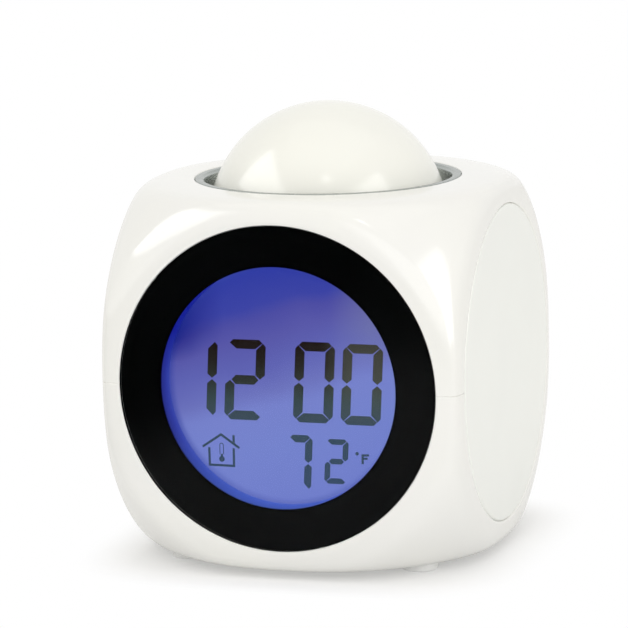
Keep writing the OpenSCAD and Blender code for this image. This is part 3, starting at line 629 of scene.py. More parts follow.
FOOT_RUBBER = plastic("foot_rubber", (0.8, 0.8, 0.78), (0.75, 0.75, 0.735), (0.6, 0.75), clouds=120, relief=0.4)
CHIP_BLACK = plastic("chip_black", (0.012, 0.012, 0.014), (0.02, 0.02, 0.022), (0.35, 0.5), clouds=200, relief=0.2)
CONE_PAPER = plastic("cone_paper", (0.02, 0.019, 0.018), (0.04, 0.037, 0.034), (0.7, 0.9), clouds=500, relief=0.6)
CONTACT_RUBBER = plastic("contact_rubber", (0.1, 0.1, 0.11), (0.14, 0.14, 0.15), (0.55, 0.7), clouds=300)
WIRE_BLACK = plastic("wire_black", (0.015, 0.015, 0.016), (0.025, 0.025, 0.026), (0.35, 0.5), clouds=200)
WIRE_RED = plastic("wire_red", (0.5, 0.02, 0.015), (0.42, 0.015, 0.012), (0.35, 0.5), clouds=200)
WIRE_BLUE = plastic("wire_blue", (0.03, 0.08, 0.4), (0.025, 0.065, 0.33), (0.35, 0.5), clouds=200)
WIRE_IVORY = plastic("wire_ivory", (0.7, 0.69, 0.6), (0.64, 0.63, 0.55), (0.35, 0.5), clouds=200)
GUIDE_CLEAR = plastic("guide_clear", (0.75, 0.82, 0.95), (0.7, 0.78, 0.92), (0.1, 0.2), clouds=80)
LED_BLUE = plastic("led_blue", (0.2, 0.3, 0.9), (0.35, 0.45, 0.95), (0.1, 0.2), clouds=400)
RING_SILVER = ring_finish()
STEEL = metal("steel", (0.62, 0.62, 0.63), (0.5, 0.5, 0.51), (0.2, 0.34), (900, 900, 3000))
BASKET_STEEL = metal("basket_steel", (0.2, 0.2, 0.21), (0.14, 0.14, 0.15), (0.35, 0.5), (400, 900, 400))
DISPLAY_BLUE, SEGMENT_INK, FRAME_WHITE = display_finish(), segment_finish(), frame_finish()
WINDOW_CLEAR, BOARD_GREEN, CELL_JACKET = window_finish(), board_finish(), cell_finish()


# Camera at the photograph's angle

VIEW_YAW, VIEW_RISE, VIEW_ROLL = 17.601, 10.790, -1.195
VIEW_DISTANCE, VIEW_END = 867.5, 20
FOCAL_PX, AXIS_PX, IMAGE_PX, SENSOR = 3948.5, (331.82, 355.15), 628, 36


def add_camera():
    yaw, rise, roll = (math.radians(v) for v in (VIEW_YAW, VIEW_RISE, VIEW_ROLL))
    back = Vector((math.sin(yaw) * math.cos(rise), -math.cos(yaw) * math.cos(rise), math.sin(rise)))
    right = Vector((math.cos(yaw), math.sin(yaw), 0))
    up = back.cross(right)
    across = right * math.cos(roll) + up * math.sin(roll)
    above = up * math.cos(roll) - right * math.sin(roll)
    middle = IMAGE_PX / 2
    aim = -back + across * ((middle - AXIS_PX[0]) / FOCAL_PX) - above * ((middle - AXIS_PX[1]) / FOCAL_PX)
    z_axis = -aim.normalized()
    x_axis = above.cross(z_axis).normalized()
    y_axis = z_axis.cross(x_axis)
    camera = link("camera", bpy.data.cameras.new("camera"))
    camera.matrix_world = Matrix.Translation(place(back * VIEW_DISTANCE)) @ Matrix(
        (x_axis, y_axis, z_axis)).transposed().to_4x4()
    camera.data.sensor_width = SENSOR
    camera.data.lens = FOCAL_PX * SENSOR / IMAGE_PX
    camera.data.clip_end = VIEW_END
    bpy.context.scene.camera = camera


add_camera()


# The two shells: the CAD shells with the smooth skin on their outside, eased openings and a fine seam

SKIN_STEPS, SKIN_EVEN = 72, 0.4  # the rest of the spacing crowds towards the edges
SEAM_WIDTH, SEAM_DEPTH, SEAM_OUT, SEAM_STEPS = 0.3, 0.14, 0.4, 360
SEAM_ROWS = [-0.016, -0.006, 0.006, 0.016]  # extra rows of the skin beside the seam
EASE, SIDE_EASE, EASE_ANGLE = 0.3, 0.55, 75
EASE_IN, EASE_OUT, EASE_ABOVE = 0.5, 2.2, 0.6  # how far the cutter reaches past the rounding


def skin_mesh():
    """The closed, smooth outside of the case, finest along its rounded edges."""
    spread = [2 * k / SKIN_STEPS - 1 for k in range(SKIN_STEPS + 1)]
    levels = [SKIN_EVEN * t + (1 - SKIN_EVEN) * math.sin(t * math.pi / 2) for t in spread]
    levels = sorted(levels + SEAM_ROWS)
    row = len(levels)
    points, faces = [], []
    for axis in range(3):
        for side in (-1, 1):
            start = len(points)
            for u in levels:
                for v in levels:
                    d = [0, 0, 0]
                    d[axis], d[(axis + 1) % 3], d[(axis + 2) % 3] = side, u, v
                    d = Vector(d).normalized()
                    points.append(d * skin_radius(d))
            for i in range(row - 1):
                for j in range(row - 1):
                    a = start + i * row + j
                    faces.append([a, a + row, a + row + 1, a + 1])
    return mesh_from(points, faces)


def ease_ring(axis, side, radius, level, ease):
    """A cutter that rounds the rim of a round opening in one of the faces."""
    outline = [(radius - EASE_IN, level + EASE_ABOVE), (radius - EASE_IN, level - ease)]
    for k in range(ARC_STEPS + 1):
        turn = math.radians(EASE_ANGLE * k / ARC_STEPS)
        outline.append((radius + ease * (1 - math.cos(turn)), level - ease * (1 - math.sin(turn))))
    outline.append((radius + 0.75 * ease + EASE_OUT, level + EASE_ABOVE))
    return turned([(r, side * a) for r, a in outline], axis)


def seam_ring():
    """A cutter with a fine wedge along the line where the shells meet."""
    points, faces = [], []
    for k in range(SEAM_STEPS):
        turn = 2 * math.pi * k / SEAM_STEPS
        d = Vector((math.cos(turn), math.sin(turn), 0))
        r = skin_radius(d)
        outside, rise = d * (r + SEAM_OUT), Vector((0, 0, SEAM_WIDTH))
        points += [d * (r - SEAM_DEPTH), outside + rise, outside - rise]
        n = (k + 1) % SEAM_STEPS
        faces += [[3 * k + i, 3 * n + i, 3 * n + j, 3 * k + j] for i, j in ((0, 1), (1, 2), (2, 0))]
    return mesh_from(points, faces)


def add_shells():
    rims = join(*(
        ease_ring(axis, side, radius + gap, skin_height(radius), ease) for axis, side, radius, gap, ease in (
            ("y", -1, WINDOW_R, FIT_GAP, EASE), ("y", 1, REAR_R, FIT_GAP, EASE), ("x", -1, SIDE_R, SIDE_GAP, SIDE_EASE),
            ("x", 1, SIDE_R, SIDE_GAP, SIDE_EASE), ("z", 1, RING_R, FIT_GAP, EASE))))
    for name, node in (("upper_skin", "upper_shell"), ("lower_skin", "lower_shell")):
        mesh = carved(merged_copy(node), ("INTERSECT", skin_mesh()), ("DIFFERENCE", rims.copy()),
                      ("DIFFERENCE", seam_ring()))
        add_piece(name, mesh, SHELL_WHITE, "case", "shell_white", node)


add_shells()


# Round discs in the sides and the clear window in front

DISC_RINGS, DISC_EDGE, WINDOW_EDGE = (0, 6, 12, 18, 24, 28, 31, 33), 0.6, 0.2


def add_side_disc(name, node, side):
    corners = [(r, side * skin_height(r), 0) for r in DISC_RINGS]
    back = side * SIDE_BACK
    corners += [(SIDE_R, side * skin_height(SIDE_R), DISC_EDGE), (SIDE_R, back, 0), (0, back, 0)]
    add_piece(name, turned_smooth(corners, "x"), DISC_WHITE, "case", "disc_white", node)


add_side_disc("left_plate", "side_disc_left", -1)
add_side_disc("right_plate", "side_disc_right", 1)
add_piece("front_glass", turned_smooth([
    (0, WINDOW_FRONT, 0), (WINDOW_R, WINDOW_FRONT, WINDOW_EDGE), (WINDOW_R, WINDOW_BACK, 0), (0, WINDOW_BACK, 0)], "y"),
    WINDOW_CLEAR, "case", "window_clear", "front_window")


# Display marks: leaning seven-segment digits, a house with a thermometer, a degree mark and a unit letter

INK_FRONT, INK_BACK = LCD_FRONT - 0.06, LCD_FRONT - 0.01
LEAN = 0.058
SEGMENTS_OF = {"0": "abcdef", "1": "bc", "2": "abged", "7": "abc"}
LARGE = (8.8, 17.4, 2.1, 2.0, 0.15)  # width, height, upright stroke, level stroke and gap of a digit
DIGITS = (  # digit, centre x, foot z, size
    ("1", -19.82, -8.2, LARGE), ("2", -9.07, -8.2, LARGE), ("0", 6.31, -8.2, LARGE), ("0", 16.88, -8.3, LARGE),
    ("7", 2.65, -23.15, (5.6, 12.2, 1.62, 1.62, 0.12)), ("2", 10.92, -21.2, (5.1, 9.68, 1.24, 1.2, 0.12)))
ROOF = ((-18.95, -14.4), (-14.77, -11.6), (-10.7, -14.4))
WALLS = ((-17.5, -14.5), (-17.45, -18.3), (-12.0, -18.35), (-11.98, -14.5))
CHIMNEY_LEFT, CHIMNEY_RIGHT, CHIMNEY_TOP = -12.2, -11.7, -11.65
GLASS = ((-15.1, -15.9), (-15.1, -13.8), (-14.86, -13.5), (-14.54, -13.5), (-14.3, -13.8), (-14.3, -15.9))
HOUSE_STROKE, GLASS_STROKE = 0.5, 0.15
BULB, BULB_R, BULB_STEPS, BULB_NECK = Vector((-14.69, -16.93)), 0.62, 24, 22
COLUMN_HALF_W, COLUMN_TOP = 0.22, 1.1
DEGREE_MARK, DEGREE_R = (15.53, -14.45), 0.38
UNIT_LETTER = [(16.49, -14.54), (18.15, -14.46), (18.15, -14.94), (16.97, -15.0), (16.97, -15.24), (17.85, -15.2),
               (17.85, -15.65), (16.97, -15.69), (16.97, -16.65), (16.47, -16.65)]


def segment_outlines(width, height, t, h, gap):
    """Outlines of the seven segments a to g in a box that stands on the origin."""
    w, m, c = width, height / 2, 0.66 * t
    d = gap * math.sqrt(2) / 2
    end, slant, tip = 0.42 * t, 0.45 * t, t / 2 + 2.2 * gap

    def mirrored(outline):
        return [(w - x, z) for x, z in outline]

    def flipped(outline):
        return [(x, height - z) for x, z in outline]

    upright = [(w, height - c - d), (w - c / 2 + d / 2, height - c / 2 - d / 2), (w - t, height - h - 2 * d),
               (w - t, m + gap + end), (w - t / 2, m + gap), (w, m + gap + end)]
    bend = height - c / 2 + d / 2 - d
    level = [(c + d, height), (w - c - d, height), (w - c / 2 - d / 2, bend), (w - t - 2 * d, height - h),
             (t + 2 * d, height - h), (c / 2 + d / 2, bend)]
    middle = [(tip, m), (tip + slant, m + h / 2), (w - tip - slant, m + h / 2), (w - tip, m),
              (w - tip - slant, m - h / 2), (tip + slant, m - h / 2)]
    return {"a": level, "b": upright, "c": flipped(upright), "d": flipped(level),
            "e": flipped(mirrored(upright)), "f": mirrored(upright), "g": middle}


def stroke_outline(points, width):
    """The outline of a stroke along a line of points, with mitred bends and square ends."""
    line = [Vector(p) for p in points]
    sides = [(b - a).normalized().orthogonal() * (width / 2) for a, b in zip(line, line[1:])]
    bends = [(u + v) * (u.length_squared / (u.length_squared + u.dot(v))) for u, v in zip(sides, sides[1:])]
    offsets = sides[:1] + bends + sides[-1:]
    return [p + s for p, s in zip(line, offsets)] + [p - s for p, s in reversed(list(zip(line, offsets)))]


def ring_points(centre, radius, count=20):
    return [(centre[0] + radius * math.cos(2 * math.pi * k / count),
             centre[1] + radius * math.sin(2 * math.pi * k / count)) for k in range(count)]


def digit_outlines(digit, x, z, size):
    outlines, (width, height) = segment_outlines(*size), size[:2]
    return [[(px - width / 2 + x + LEAN * (pz - height / 2), pz + z) for px, pz in outlines[letter]]
            for letter in SEGMENTS_OF[digit]]


def roof_outline():
    """The roof's stroke, with the chimney on its right slope."""
    outline = stroke_outline(ROOF, HOUSE_STROKE)
    apex, eave = outline[1:3]
    left, right = (apex.lerp(eave, (x - apex.x) / (eave.x - apex.x)) for x in (CHIMNEY_LEFT, CHIMNEY_RIGHT))
    outline[2:2] = [left, Vector((CHIMNEY_LEFT, CHIMNEY_TOP)), Vector((CHIMNEY_RIGHT, CHIMNEY_TOP)), right]
    return outline


def bulb_outline():
    """The thermometer's bulb and column."""
    turns = [math.radians(BULB_NECK + (360 - 2 * BULB_NECK) * k / BULB_STEPS) for k in range(BULB_STEPS + 1)]
    bulb = [BULB + Vector((BULB_R * math.sin(a), BULB_R * math.cos(a))) for a in turns]
    return [BULB + Vector((COLUMN_HALF_W, COLUMN_TOP))] + bulb + [BULB + Vector((-COLUMN_HALF_W, COLUMN_TOP))]


def add_display_marks():
    plates = [outline for digit in DIGITS for outline in digit_outlines(*digit)]
    plates += [roof_outline(), stroke_outline(WALLS, HOUSE_STROKE), stroke_outline(GLASS, GLASS_STROKE), bulb_outline(),
               ring_points(DEGREE_MARK, DEGREE_R), UNIT_LETTER]
    meshes = [slab(outline, INK_FRONT, INK_BACK) for outline in plates]
    add_piece("display_marks", join(*meshes), SEGMENT_INK, "case", "display_blue")


add_display_marks()


# Silver ring and push dome

RING_OUT_EDGE, RING_IN_EDGE, GUIDE_EDGE = 0.3, 0.8, 0.3
DOME_STEPS, DOME_IN_STEPS = 72, 36

add_piece("ring_trim", turned_smooth([
    (RING_IN_R, SLEEVE_LOW, 0), (SLEEVE_R, SLEEVE_LOW, 0), (SLEEVE_R, BAND_LOW, 0), (RING_R, BAND_LOW, 0),
    (RING_R, HALF, RING_OUT_EDGE), (RING_IN_R, HALF, RING_IN_EDGE)], "z"),
    RING_SILVER, "case", "ring_silver", "trim_ring")


def dome_arc(radius, low, steps):
    """Corners down a sphere of the dome, from its top to a height."""
    end = math.acos((low - DOME_Z) / radius)
    turns = [end * k / steps for k in range(steps + 1)]
    return [(radius * math.sin(a), DOME_Z + radius * math.cos(a), 0) for a in turns]


def add_dome():
    corners = dome_arc(DOME_R, GUIDE_TOP, DOME_STEPS)
    corners += [(GUIDE_R, GUIDE_TOP, GUIDE_EDGE), (GUIDE_R, DOME_LOW, 0), (PLATE_SEAT_R, DOME_LOW, 0),
                (PLATE_SEAT_R, PLATE_SEAT_TOP, 0)]
    corners += reversed(dome_arc(DOME_IN_R, PLATE_SEAT_TOP, DOME_IN_STEPS))
    catches = [box_mesh((low, -CATCH_HALF_W, DOME_LOW), (low + CATCH_OUT - CATCH_IN, CATCH_HALF_W, CATCH_TOP),
                        CATCH_BEVEL) for low in (CATCH_IN, -CATCH_OUT)]
    mesh = join(turned_smooth(corners, "z"), *catches)
    add_piece("dome_cap", mesh, DOME_WHITE, "dome", "shell_white", "talk_dome")


add_dome()


# Back: eased panel with its grille, five set buttons with their signs, four screws

HOLE_EASE, SCREW_EASE, EASE_STEPS, CUTTER_RISE = 0.25, 0.12, 28, 0.4
FLAT = 0.999  # the panel's flat faces are shaded flat


def grille_places():
    places = [(0, -SPEAKER_LOW)]
    for ring in range(1, GRILLE_RINGS + 1):
        for k in range(6 * ring):
            turn = math.radians(60 * k / ring)
            places.append((ring * GRILLE_PITCH * math.cos(turn), ring * GRILLE_PITCH * math.sin(turn) - SPEAKER_LOW))
    return places


def countersink(radius, places, ease=HOLE_EASE):
    """Cutters that ease the rims of round holes in the rear panel."""
    above = ease + CUTTER_RISE
    outline = [(0, above), (0, -ease), (radius, -ease), (radius + 0.3 * ease, -0.4 * ease), (radius + ease, 0.02),
               (radius + ease, above)]
    shape = turned(outline, "y", steps=EASE_STEPS)
    return repeated(shape, [(x, PANEL_Y, z) for x, z in places], REAR_WHITE)


def panel_rim():
    """A cutter that rounds the rear panel's edge."""
    outline = [(-0.35, CUTTER_RISE), (-0.35, 0.02), (-0.1, -0.1), (0.02, -0.35), (0.6, -0.35), (0.6, CUTTER_RISE)]
    return turned([(REAR_R + out, PANEL_Y + up) for out, up in outline], "y")


def add_rear_panel():
    button_row = [(BUTTON_PITCH * k, BUTTON_Z) for k in range(-2, 3)]
    eases = join(countersink(GRILLE_R, grille_places()), countersink(BUTTON_R + BUTTON_GAP, button_row),
                 countersink(SCREW_HEAD_R + FIT_GAP, four(SCREW_AT, SCREW_AT), SCREW_EASE), panel_rim())
    mesh = carved(merged_copy("rear_panel"), ("DIFFERENCE", eases))
    for face in mesh.polygons:
        face.use_smooth = abs(face.normal.y) < FLAT
    add_piece("rear_plate", mesh, REAR_WHITE, "case", "rear_white", "rear_panel")


add_rear_panel()

BUTTON_EDGE, BUTTON_STEPS = 0.45, 64
BUTTON_CAP = [  # dished face, skirt, rim and stem
    (0, BUTTON_FACE - 0.12, 0), (BUTTON_R - 0.9, BUTTON_FACE - 0.05, 0), (BUTTON_R, BUTTON_FACE + 0.02, BUTTON_EDGE),
    (BUTTON_R, BUTTON_RIM_TOP, 0), (BUTTON_RIM_R, BUTTON_RIM_TOP, 0), (BUTTON_RIM_R, BUTTON_FOOT, 0),
    (BUTTON_STEM_R, BUTTON_FOOT, 0), (BUTTON_STEM_R, BUTTON_STEM_END, 0), (0, BUTTON_STEM_END, 0)]
SIGN_BACK, SIGN_FRONT = BUTTON_FACE - 0.2, BUTTON_FACE - 0.02
SIGN_OUTLINES = {
    "time": [stroke_outline(((0, 0.85), (0, 0), (0.65, 0)), 0.26)],
    "alarm": [[(-1.2, -0.7), (1.2, -0.7), (0.85, -0.25), (0.7, 0.6), (0.3, 1.0), (-0.3, 1.0), (-0.7, 0.6),
               (-0.85, -0.25)], ring_points((0, -1.05), 0.28, 12)],
    "up": [[(-1.1, -0.75), (1.1, -0.75), (0, 1.05)]],
    "down": [[(-1.1, 0.75), (1.1, 0.75), (0, -1.05)]],
    "unit": []}
SIGN_RINGS = {"time": (1.12, 1.38), "unit": (0.6, 0.9)}


def button_sign(kind, x):
    """The small raised sign on a set button."""
    plates = [slab([(x + u, BUTTON_Z + v) for u, v in outline], SIGN_BACK, SIGN_FRONT)
              for outline in SIGN_OUTLINES[kind]]
    if kind in SIGN_RINGS:
        inner, outer = SIGN_RINGS[kind]
        plates.append(turned_smooth([
            (inner, SIGN_BACK, 0), (outer, SIGN_BACK, 0), (outer, SIGN_FRONT, 0), (inner, SIGN_FRONT, 0)],
            "y", (x, 0, BUTTON_Z), COARSE))
    return join(*plates)


def add_buttons():
    for k, kind in enumerate(SIGN_OUTLINES):
        x, body = BUTTON_PITCH * (k - 2), kind + "_key"
        cap = turned_smooth(BUTTON_CAP, "y", (x, 0, BUTTON_Z), BUTTON_STEPS)
        add_piece(kind + "_cap", cap, BUTTON_GREY, body, "button_grey", kind + "_button")
        add_piece(kind + "_sign", button_sign(kind, x), MARK_GREY, body, "border_black")


add_buttons()

HEAD_TOP, HEAD_EDGE, SCREW_LEN, SCREW_POINT, SCREW_TURN = 1.15, 0.45, 4.4, 4.8, 0.9
CROSS_ARM, CROSS_HALF_W, CROSS_DEPTH, CROSS_ABOVE, CROSS_TAPER = 1.15, 0.3, 0.9, 0.3, 0.75


def screw_shape():
    """A cross-recessed screw along -Y, its head's top towards +Y, round the case's middle."""
    head_r = SCREW_HEAD_R - 0.02
    body = turned(rounded([
        (0, HEAD_TOP, 0), (head_r, HEAD_TOP, HEAD_EDGE), (head_r, 0.0, 0), (SCREW_R, 0.0, 0), (SCREW_R, -SCREW_LEN, 0),
        (0, -SCREW_POINT, 0)]), "y", steps=COARSE)
    cuts = []
    for a, b in ((CROSS_ARM, CROSS_HALF_W), (CROSS_HALF_W, CROSS_ARM)):
        points = [(sx * share * a, y, sz * share * b)
                  for share, y in ((1, HEAD_TOP + CROSS_ABOVE), (CROSS_TAPER, HEAD_TOP - CROSS_DEPTH))
                  for sx, sz in ((-1, -1), (1, -1), (1, 1), (-1, 1))]
        faces = [(0, 1, 2, 3), (7, 6, 5, 4), (0, 4, 5, 1), (1, 5, 6, 2), (2, 6, 7, 3), (3, 7, 4, 0)]
        cuts.append(("DIFFERENCE", mesh_from(points, faces)))
    return carved(body, *cuts)


def add_screws():
    places = [(x, SCREW_SEAT, z) for x, z in four(SCREW_AT, SCREW_AT)]
    mesh = repeated(screw_shape(), places, STEEL, SCREW_TURN)
    add_piece("rear_fixings", mesh, STEEL, "case", "steel", "rear_screws")


add_screws()


# Underneath: soft feet, and grip ribs in the scoop of the battery door

FOOT_EDGE, FOOT_RIM, FOOT_SLOPE, FOOT_HOLLOW, FOOT_STEPS = 0.5, 1.2, 1.5, 0.25, 64
SCOOP_Y, SCOOP_Z, SCOOP_R = -13.95, -48.0, 9.0
RIB_HALF_LEN, RIB_HALF_W, RIB_RISE, RIB_PITCH, RIB_BEVEL = 6.5, 0.3, 0.35, 1.4, 0.18


def add_feet():
    shape = turned_smooth([
        (0, FOOT_TOP, 0), (FOOT_R, FOOT_TOP, 0), (FOOT_R, FOOT_LOW, FOOT_EDGE), (FOOT_R - FOOT_RIM, FOOT_LOW, 0),
        (FOOT_R - FOOT_SLOPE, FOOT_LOW + FOOT_HOLLOW, 0), (0, FOOT_LOW + FOOT_HOLLOW, 0)], "z", steps=FOOT_STEPS)
    mesh = repeated(shape, [(x, y, 0) for x, y in four(FOOT_X, FOOT_Y)], FOOT_RUBBER)
    add_piece("soft_feet", mesh, FOOT_RUBBER, "case", "foot_rubber", "rubber_feet")


def add_grip_ribs():
    shape = box_mesh((-RIB_HALF_LEN, -RIB_HALF_W, -RIB_RISE), (RIB_HALF_LEN, RIB_HALF_W, RIB_RISE), RIB_BEVEL)
    places = []
    for k in range(-2, 3):
        across = RIB_PITCH * k
        places.append((0, SCOOP_Y + across, SCOOP_Z + math.sqrt(SCOOP_R ** 2 - across ** 2)))
    add_piece("door_ribs", repeated(shape, places, DOOR_WHITE), DOOR_WHITE, "door", "shell_white")


# Wound springs

TALK_TOP, TALK_SPRING_R, TALK_WIRE_R, TALK_TURNS, TALK_TRAVEL = 10.0, 6.643, 0.4, 5, 2.0
CELL_PITCH, CELL_Z, BAY_X, CONTACT_T = 11.2, -32.15, 26.0, 0.4
BATTERY_SPRING_LEN, BATTERY_COIL_R, BATTERY_WIRE_R, BATTERY_TURNS = 6.7, 3.0, 0.3, 4


def placed_coil(turns, radius, length, wire_r, matrix):
    mesh = grown(COIL, bpy.data.meshes.new("base"), {
        "Turns": float(turns), "Radius": radius * MM, "Length": (length - 2 * wire_r) * MM,
        "Wire radius": wire_r * MM, "Finish": STEEL})
    mesh.transform(matrix @ Matrix.Translation((0, 0, wire_r * MM)))
    return mesh


def add_springs():
    length = DOME_LOW - TALK_TOP
    mesh = placed_coil(TALK_TURNS, TALK_SPRING_R, length, TALK_WIRE_R, Matrix.Translation(place((0, 0, TALK_TOP))))
    piece = add_piece("talk_coil", mesh, STEEL, "case", "steel", "talk_spring")
    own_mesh(piece)
    coils = []
    for row in (-1, 0, 1):
        turn = Matrix.Rotation(math.pi if row == 0 else 0, 4, "Z")
        lie = Matrix.Rotation(math.pi / 2, 4, "Y")
        middle = Matrix.Translation(place((0, row * CELL_PITCH, CELL_Z)))
        coils.append(placed_coil(BATTERY_TURNS, BATTERY_COIL_R, BATTERY_SPRING_LEN, BATTERY_WIRE_R,
                                 middle @ turn @ Matrix.Translation(((-BAY_X + CONTACT_T) * MM, 0, 0)) @ lie))
    add_piece("cell_coils", join(*coils), STEEL, "case", "steel", "battery_springs")


# Insulated leads inside the case, straight where they are soldered and bent between

LEAD_R, BEND_STEPS = 0.6, 8
LEADS = (  # node, route, and each lead's name, shift along x and finish
    ("battery_leads", ((-25.8, -11.2, -22.35), (-25.8, -11.2, -19), (-24, -15, -17), (-21, -21, -17), (-20, -25, -18),
                       (-20, -27, -18)), (("battery_lead_minus", 0, WIRE_BLACK),)),
    ("battery_leads", ((25.8, 11.2, -22.35), (25.8, 11.2, -19), (24, 4, -17), (22, -8, -17), (20, -20, -17),
                       (20, -25, -18), (20, -27, -18)), (("battery_lead_plus", 0, WIRE_RED),)),
    ("speaker_leads", ((1, 23.6, -10), (1, 20, -10), (3, 12, -17), (5, 0, -21), (5, -12, -19), (5, -22, -14),
                       (5, -27, -14)), (("speaker_lead_0", 0, WIRE_BLACK), ("speaker_lead_4", 4, WIRE_RED))),
    ("talk_leads", ((-14, -12, 8.4), (-14, -12, 4), (-14, -16, 1), (-14, -22, 2), (-14, -27, 2)),
     (("talk_lead_0", 0, WIRE_IVORY), ("talk_lead_4", 4, WIRE_BLUE))),
    ("button_leads", ((10, 27.1, 12), (10, 24, 12), (10, 19, 6), (10, 8, 3), (10, -10, 3), (10, -22, 8), (10, -27, 8)),
     (("button_lead_0", 0, WIRE_IVORY), ("button_lead_3", 3, WIRE_BLUE), ("button_lead_6", 6, WIRE_RED))))


def bent(route):
    """Points along a smooth line through a route whose first and last stretches are straight."""
    points = [Vector(p) for p in route]
    line = [points[0]]
    for i in range(1, len(points) - 2):
        before, a, b, after = points[i - 1:i + 3]
        for k in range(BEND_STEPS):
            t = k / BEND_STEPS
            line.append(0.5 * (2 * a + (b - before) * t + (2 * before - 5 * a + 4 * b - after) * t * t
                               + (3 * a - before - 3 * b + after) * t ** 3))
    return line + points[-2:]


def add_leads():
    for node, route, wires in LEADS:
        for name, shift, finish in wires:
            line = bent([(x + shift, y, z) for x, y, z in route])
            base = plain_mesh(line, [(k, k + 1) for k in range(len(line) - 1)])
            tube = grown(TUBE, base, {"Radius": LEAD_R * MM, "Finish": finish})
            add_piece(name, tube, finish, "case", "wire_cover", node)


add_feet()
add_springs()
add_leads()
add_grip_ribs()


# Finishes of the nodes that keep their shape

NODES_IN = (
    (BORDER_BLACK, "bezel_mask"), (FRAME_WHITE, "lcd_frame"), (DISPLAY_BLUE, "lcd_panel"), (GUIDE_CLEAR, "light_guide"),
    (LED_BLUE, "backlight_leds"), (CONTACT_RUBBER, "zebra_strip"), (CELL_JACKET, "battery_cells"),
    (BOARD_GREEN, "main_board", "button_board", "talk_board"), (CONE_PAPER, "speaker_cone"),
    (CHIP_BLACK, "board_components", "button_switches", "talk_switch"), (REAR_WHITE, "dome_plate"),
    (BASKET_STEEL, "speaker_basket", "speaker_magnet"), (DOOR_WHITE, "battery_door"),
    (STEEL, "lcd_screws", "board_screws", "button_board_screws", "talk_screws", "battery_contacts", "case_screws"))

for finish, *kept in NODES_IN:
    for node in kept:
        paint(nodes[node].data, finish)


# Pale floor and soft light; lengths in metres

FLOOR_CORNERS = [(-4, -5, 0), (4, -5, 0), (4, 3, 0), (-4, 3, 0)]
SHADE_START, SHADE_END, SHADE_LEAST = 0.038, 0.052, 0.2  # where the floor's close shadow fades into white
LIFT_START, LIFT_END, LIFT_LOW, LIFT_HIGH, LIFT_SHARE = 0.045, 0.085, 0.58, 0.96, 0.55  # what it throws back up
DIM_START, DIM_END, DIM_SIDE_START, DIM_SIDE_END, DIM_Y = 0.22, 0.42, 0.05, 0.1, -0.04  # where mirrors see it dim
DIM_GREY = (0.08, 0.085, 0.09)
SOFT_TINT, SOFT_STRENGTH = (1.0, 0.99, 0.97), 0.88


def emission(tree, colour=(1, 1, 1), strength=1):
    return add_node(tree, "ShaderNodeEmission", {"Color": colour, "Strength": strength})[0]


def squared_distance(x, y):
    """Distance from the middle of the floor, level along a square with round corners."""
    x, y = (math_node("POWER", math_node("ABSOLUTE", v), 4.0) for v in (x, y))
    return math_node("POWER", math_node("ADD", x, y), 0.25)


def add_floor():
    mesh = bpy.data.meshes.new("floor")
    mesh.from_pydata(FLOOR_CORNERS, [], [(0, 1, 2, 3)])
    floor = link("floor", mesh)
    finish, tree = new_finish("floor_pale")
    shaded(finish, {"Base Color": (0.96, 0.96, 0.96), "Roughness": 0.9, "Specular IOR Level": 0})
    matt = tree.nodes["Principled BSDF"].outputs["BSDF"]
    rays = add_node(tree, "ShaderNodeLightPath")
    x, y, _ = spot_axes(tree)
    away = squared_distance(x, y)
    lift = emission(tree, strength=ranged(away, LIFT_START, LIFT_END, LIFT_LOW, LIFT_HIGH))
    lifted = times(rays["Is Diffuse Ray"], LIFT_SHARE)
    surface = mix_shaders(lifted, matt, lift)
    far = ranged(away, SHADE_START, SHADE_END, SHADE_LEAST, 1, smooth=True)
    seen = larger(rays["Is Camera Ray"], rays["Is Transmission Ray"])
    surface = mix_shaders(times(far, seen), surface, emission(tree))
    ahead = ranged(times(y, -1.0), DIM_START, DIM_END, smooth=True)
    beside = ranged(times(x, -1.0), DIM_SIDE_START, DIM_SIDE_END, smooth=True)
    beside = times(beside, math_node("LESS_THAN", y, DIM_Y))
    dark = times(larger(ahead, beside), rays["Is Glossy Ray"])
    surface = mix_shaders(dark, surface, emission(tree, DIM_GREY))
    below = add_node(tree, "ShaderNodeNewGeometry")["Backfacing"]
    surface = mix_shaders(below, surface, add_node(tree, "ShaderNodeBsdfTransparent")[0])
    set_inputs(tree.nodes["Material Output"], {"Surface": surface})
    mesh.materials.append(finish)


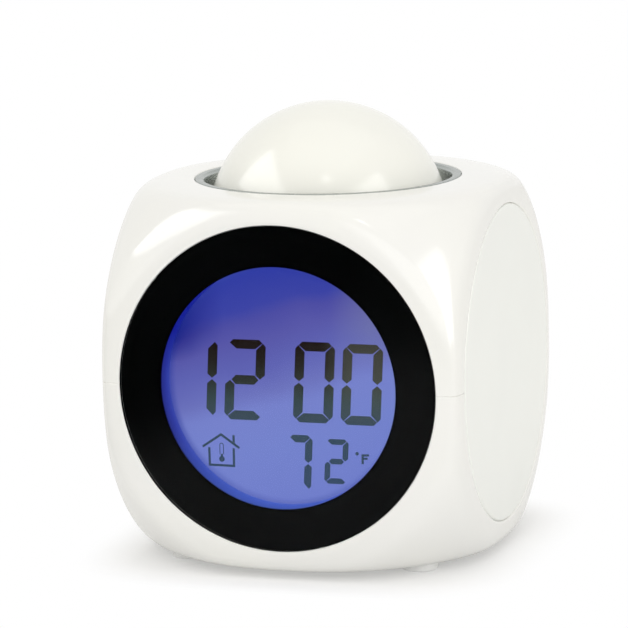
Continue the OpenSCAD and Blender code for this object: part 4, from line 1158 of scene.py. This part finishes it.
def add_world():
    """Soft light all round, which is plain white where it is seen or mirrored."""
    world = bpy.data.worlds.new("studio")
    world.use_nodes = True
    bpy.context.scene.world = world
    tree = world.node_tree
    soft = tree.nodes["Background"]
    set_inputs(soft, {"Color": SOFT_TINT, "Strength": SOFT_STRENGTH})
    white = add_node(tree, "ShaderNodeBackground", {"Color": (1, 1, 1), "Strength": 1})
    rays = add_node(tree, "ShaderNodeLightPath")
    mirrored = larger(rays["Is Glossy Ray"], rays["Is Transmission Ray"])
    seen = larger(rays["Is Camera Ray"], mirrored)
    surface = mix_shaders(seen, soft.outputs["Background"], white[0])
    set_inputs(tree.nodes["World Output"], {"Surface": surface})


def add_light(name, centre, facing, size, power, mirrored_only=False):
    """A soft rectangle of light. One that is only mirrored draws highlights, without lighting matt surfaces."""
    lamp = bpy.data.lights.new(name, "AREA")
    lamp.shape = "RECTANGLE"
    lamp.size, lamp.size_y = size
    lamp.energy = power
    holder = link(name, lamp)
    holder.visible_diffuse = not mirrored_only
    holder.location = centre
    holder.rotation_euler = (-Vector(facing)).to_track_quat("Z", "Y").to_euler()


def add_softbox(name, azimuth, elevation, distance, size, power, mirrored_only=False):
    """A light that faces the case's middle."""
    a, e = math.radians(azimuth), math.radians(elevation)
    direction = Vector((math.sin(a) * math.cos(e), -math.cos(a) * math.cos(e), math.sin(e)))
    add_light(name, place((0, 0, 0)) + direction * distance, -direction, size, power, mirrored_only)


add_floor()
add_world()
add_light("left_window", (-0.6, -0.54, 0.54), facing=(1, 0, 0), size=(1.12, 0.51), power=5.9, mirrored_only=True)
add_light("right_window", (0.6, -0.38, 0.34), facing=(-1, 0, 0), size=(0.68, 0.6), power=4.2, mirrored_only=True)
add_softbox("small_lamp", 15, 49, distance=0.9, size=(0.06, 0.06), power=0.145, mirrored_only=True)
add_softbox("overhead", 0, 89, distance=1.1, size=(1.2, 1.2), power=1.3)
add_softbox("front_fill", 28, 14, distance=1.2, size=(1.3, 0.7), power=3.3)

bpy.context.scene.view_settings.view_transform = "Standard"
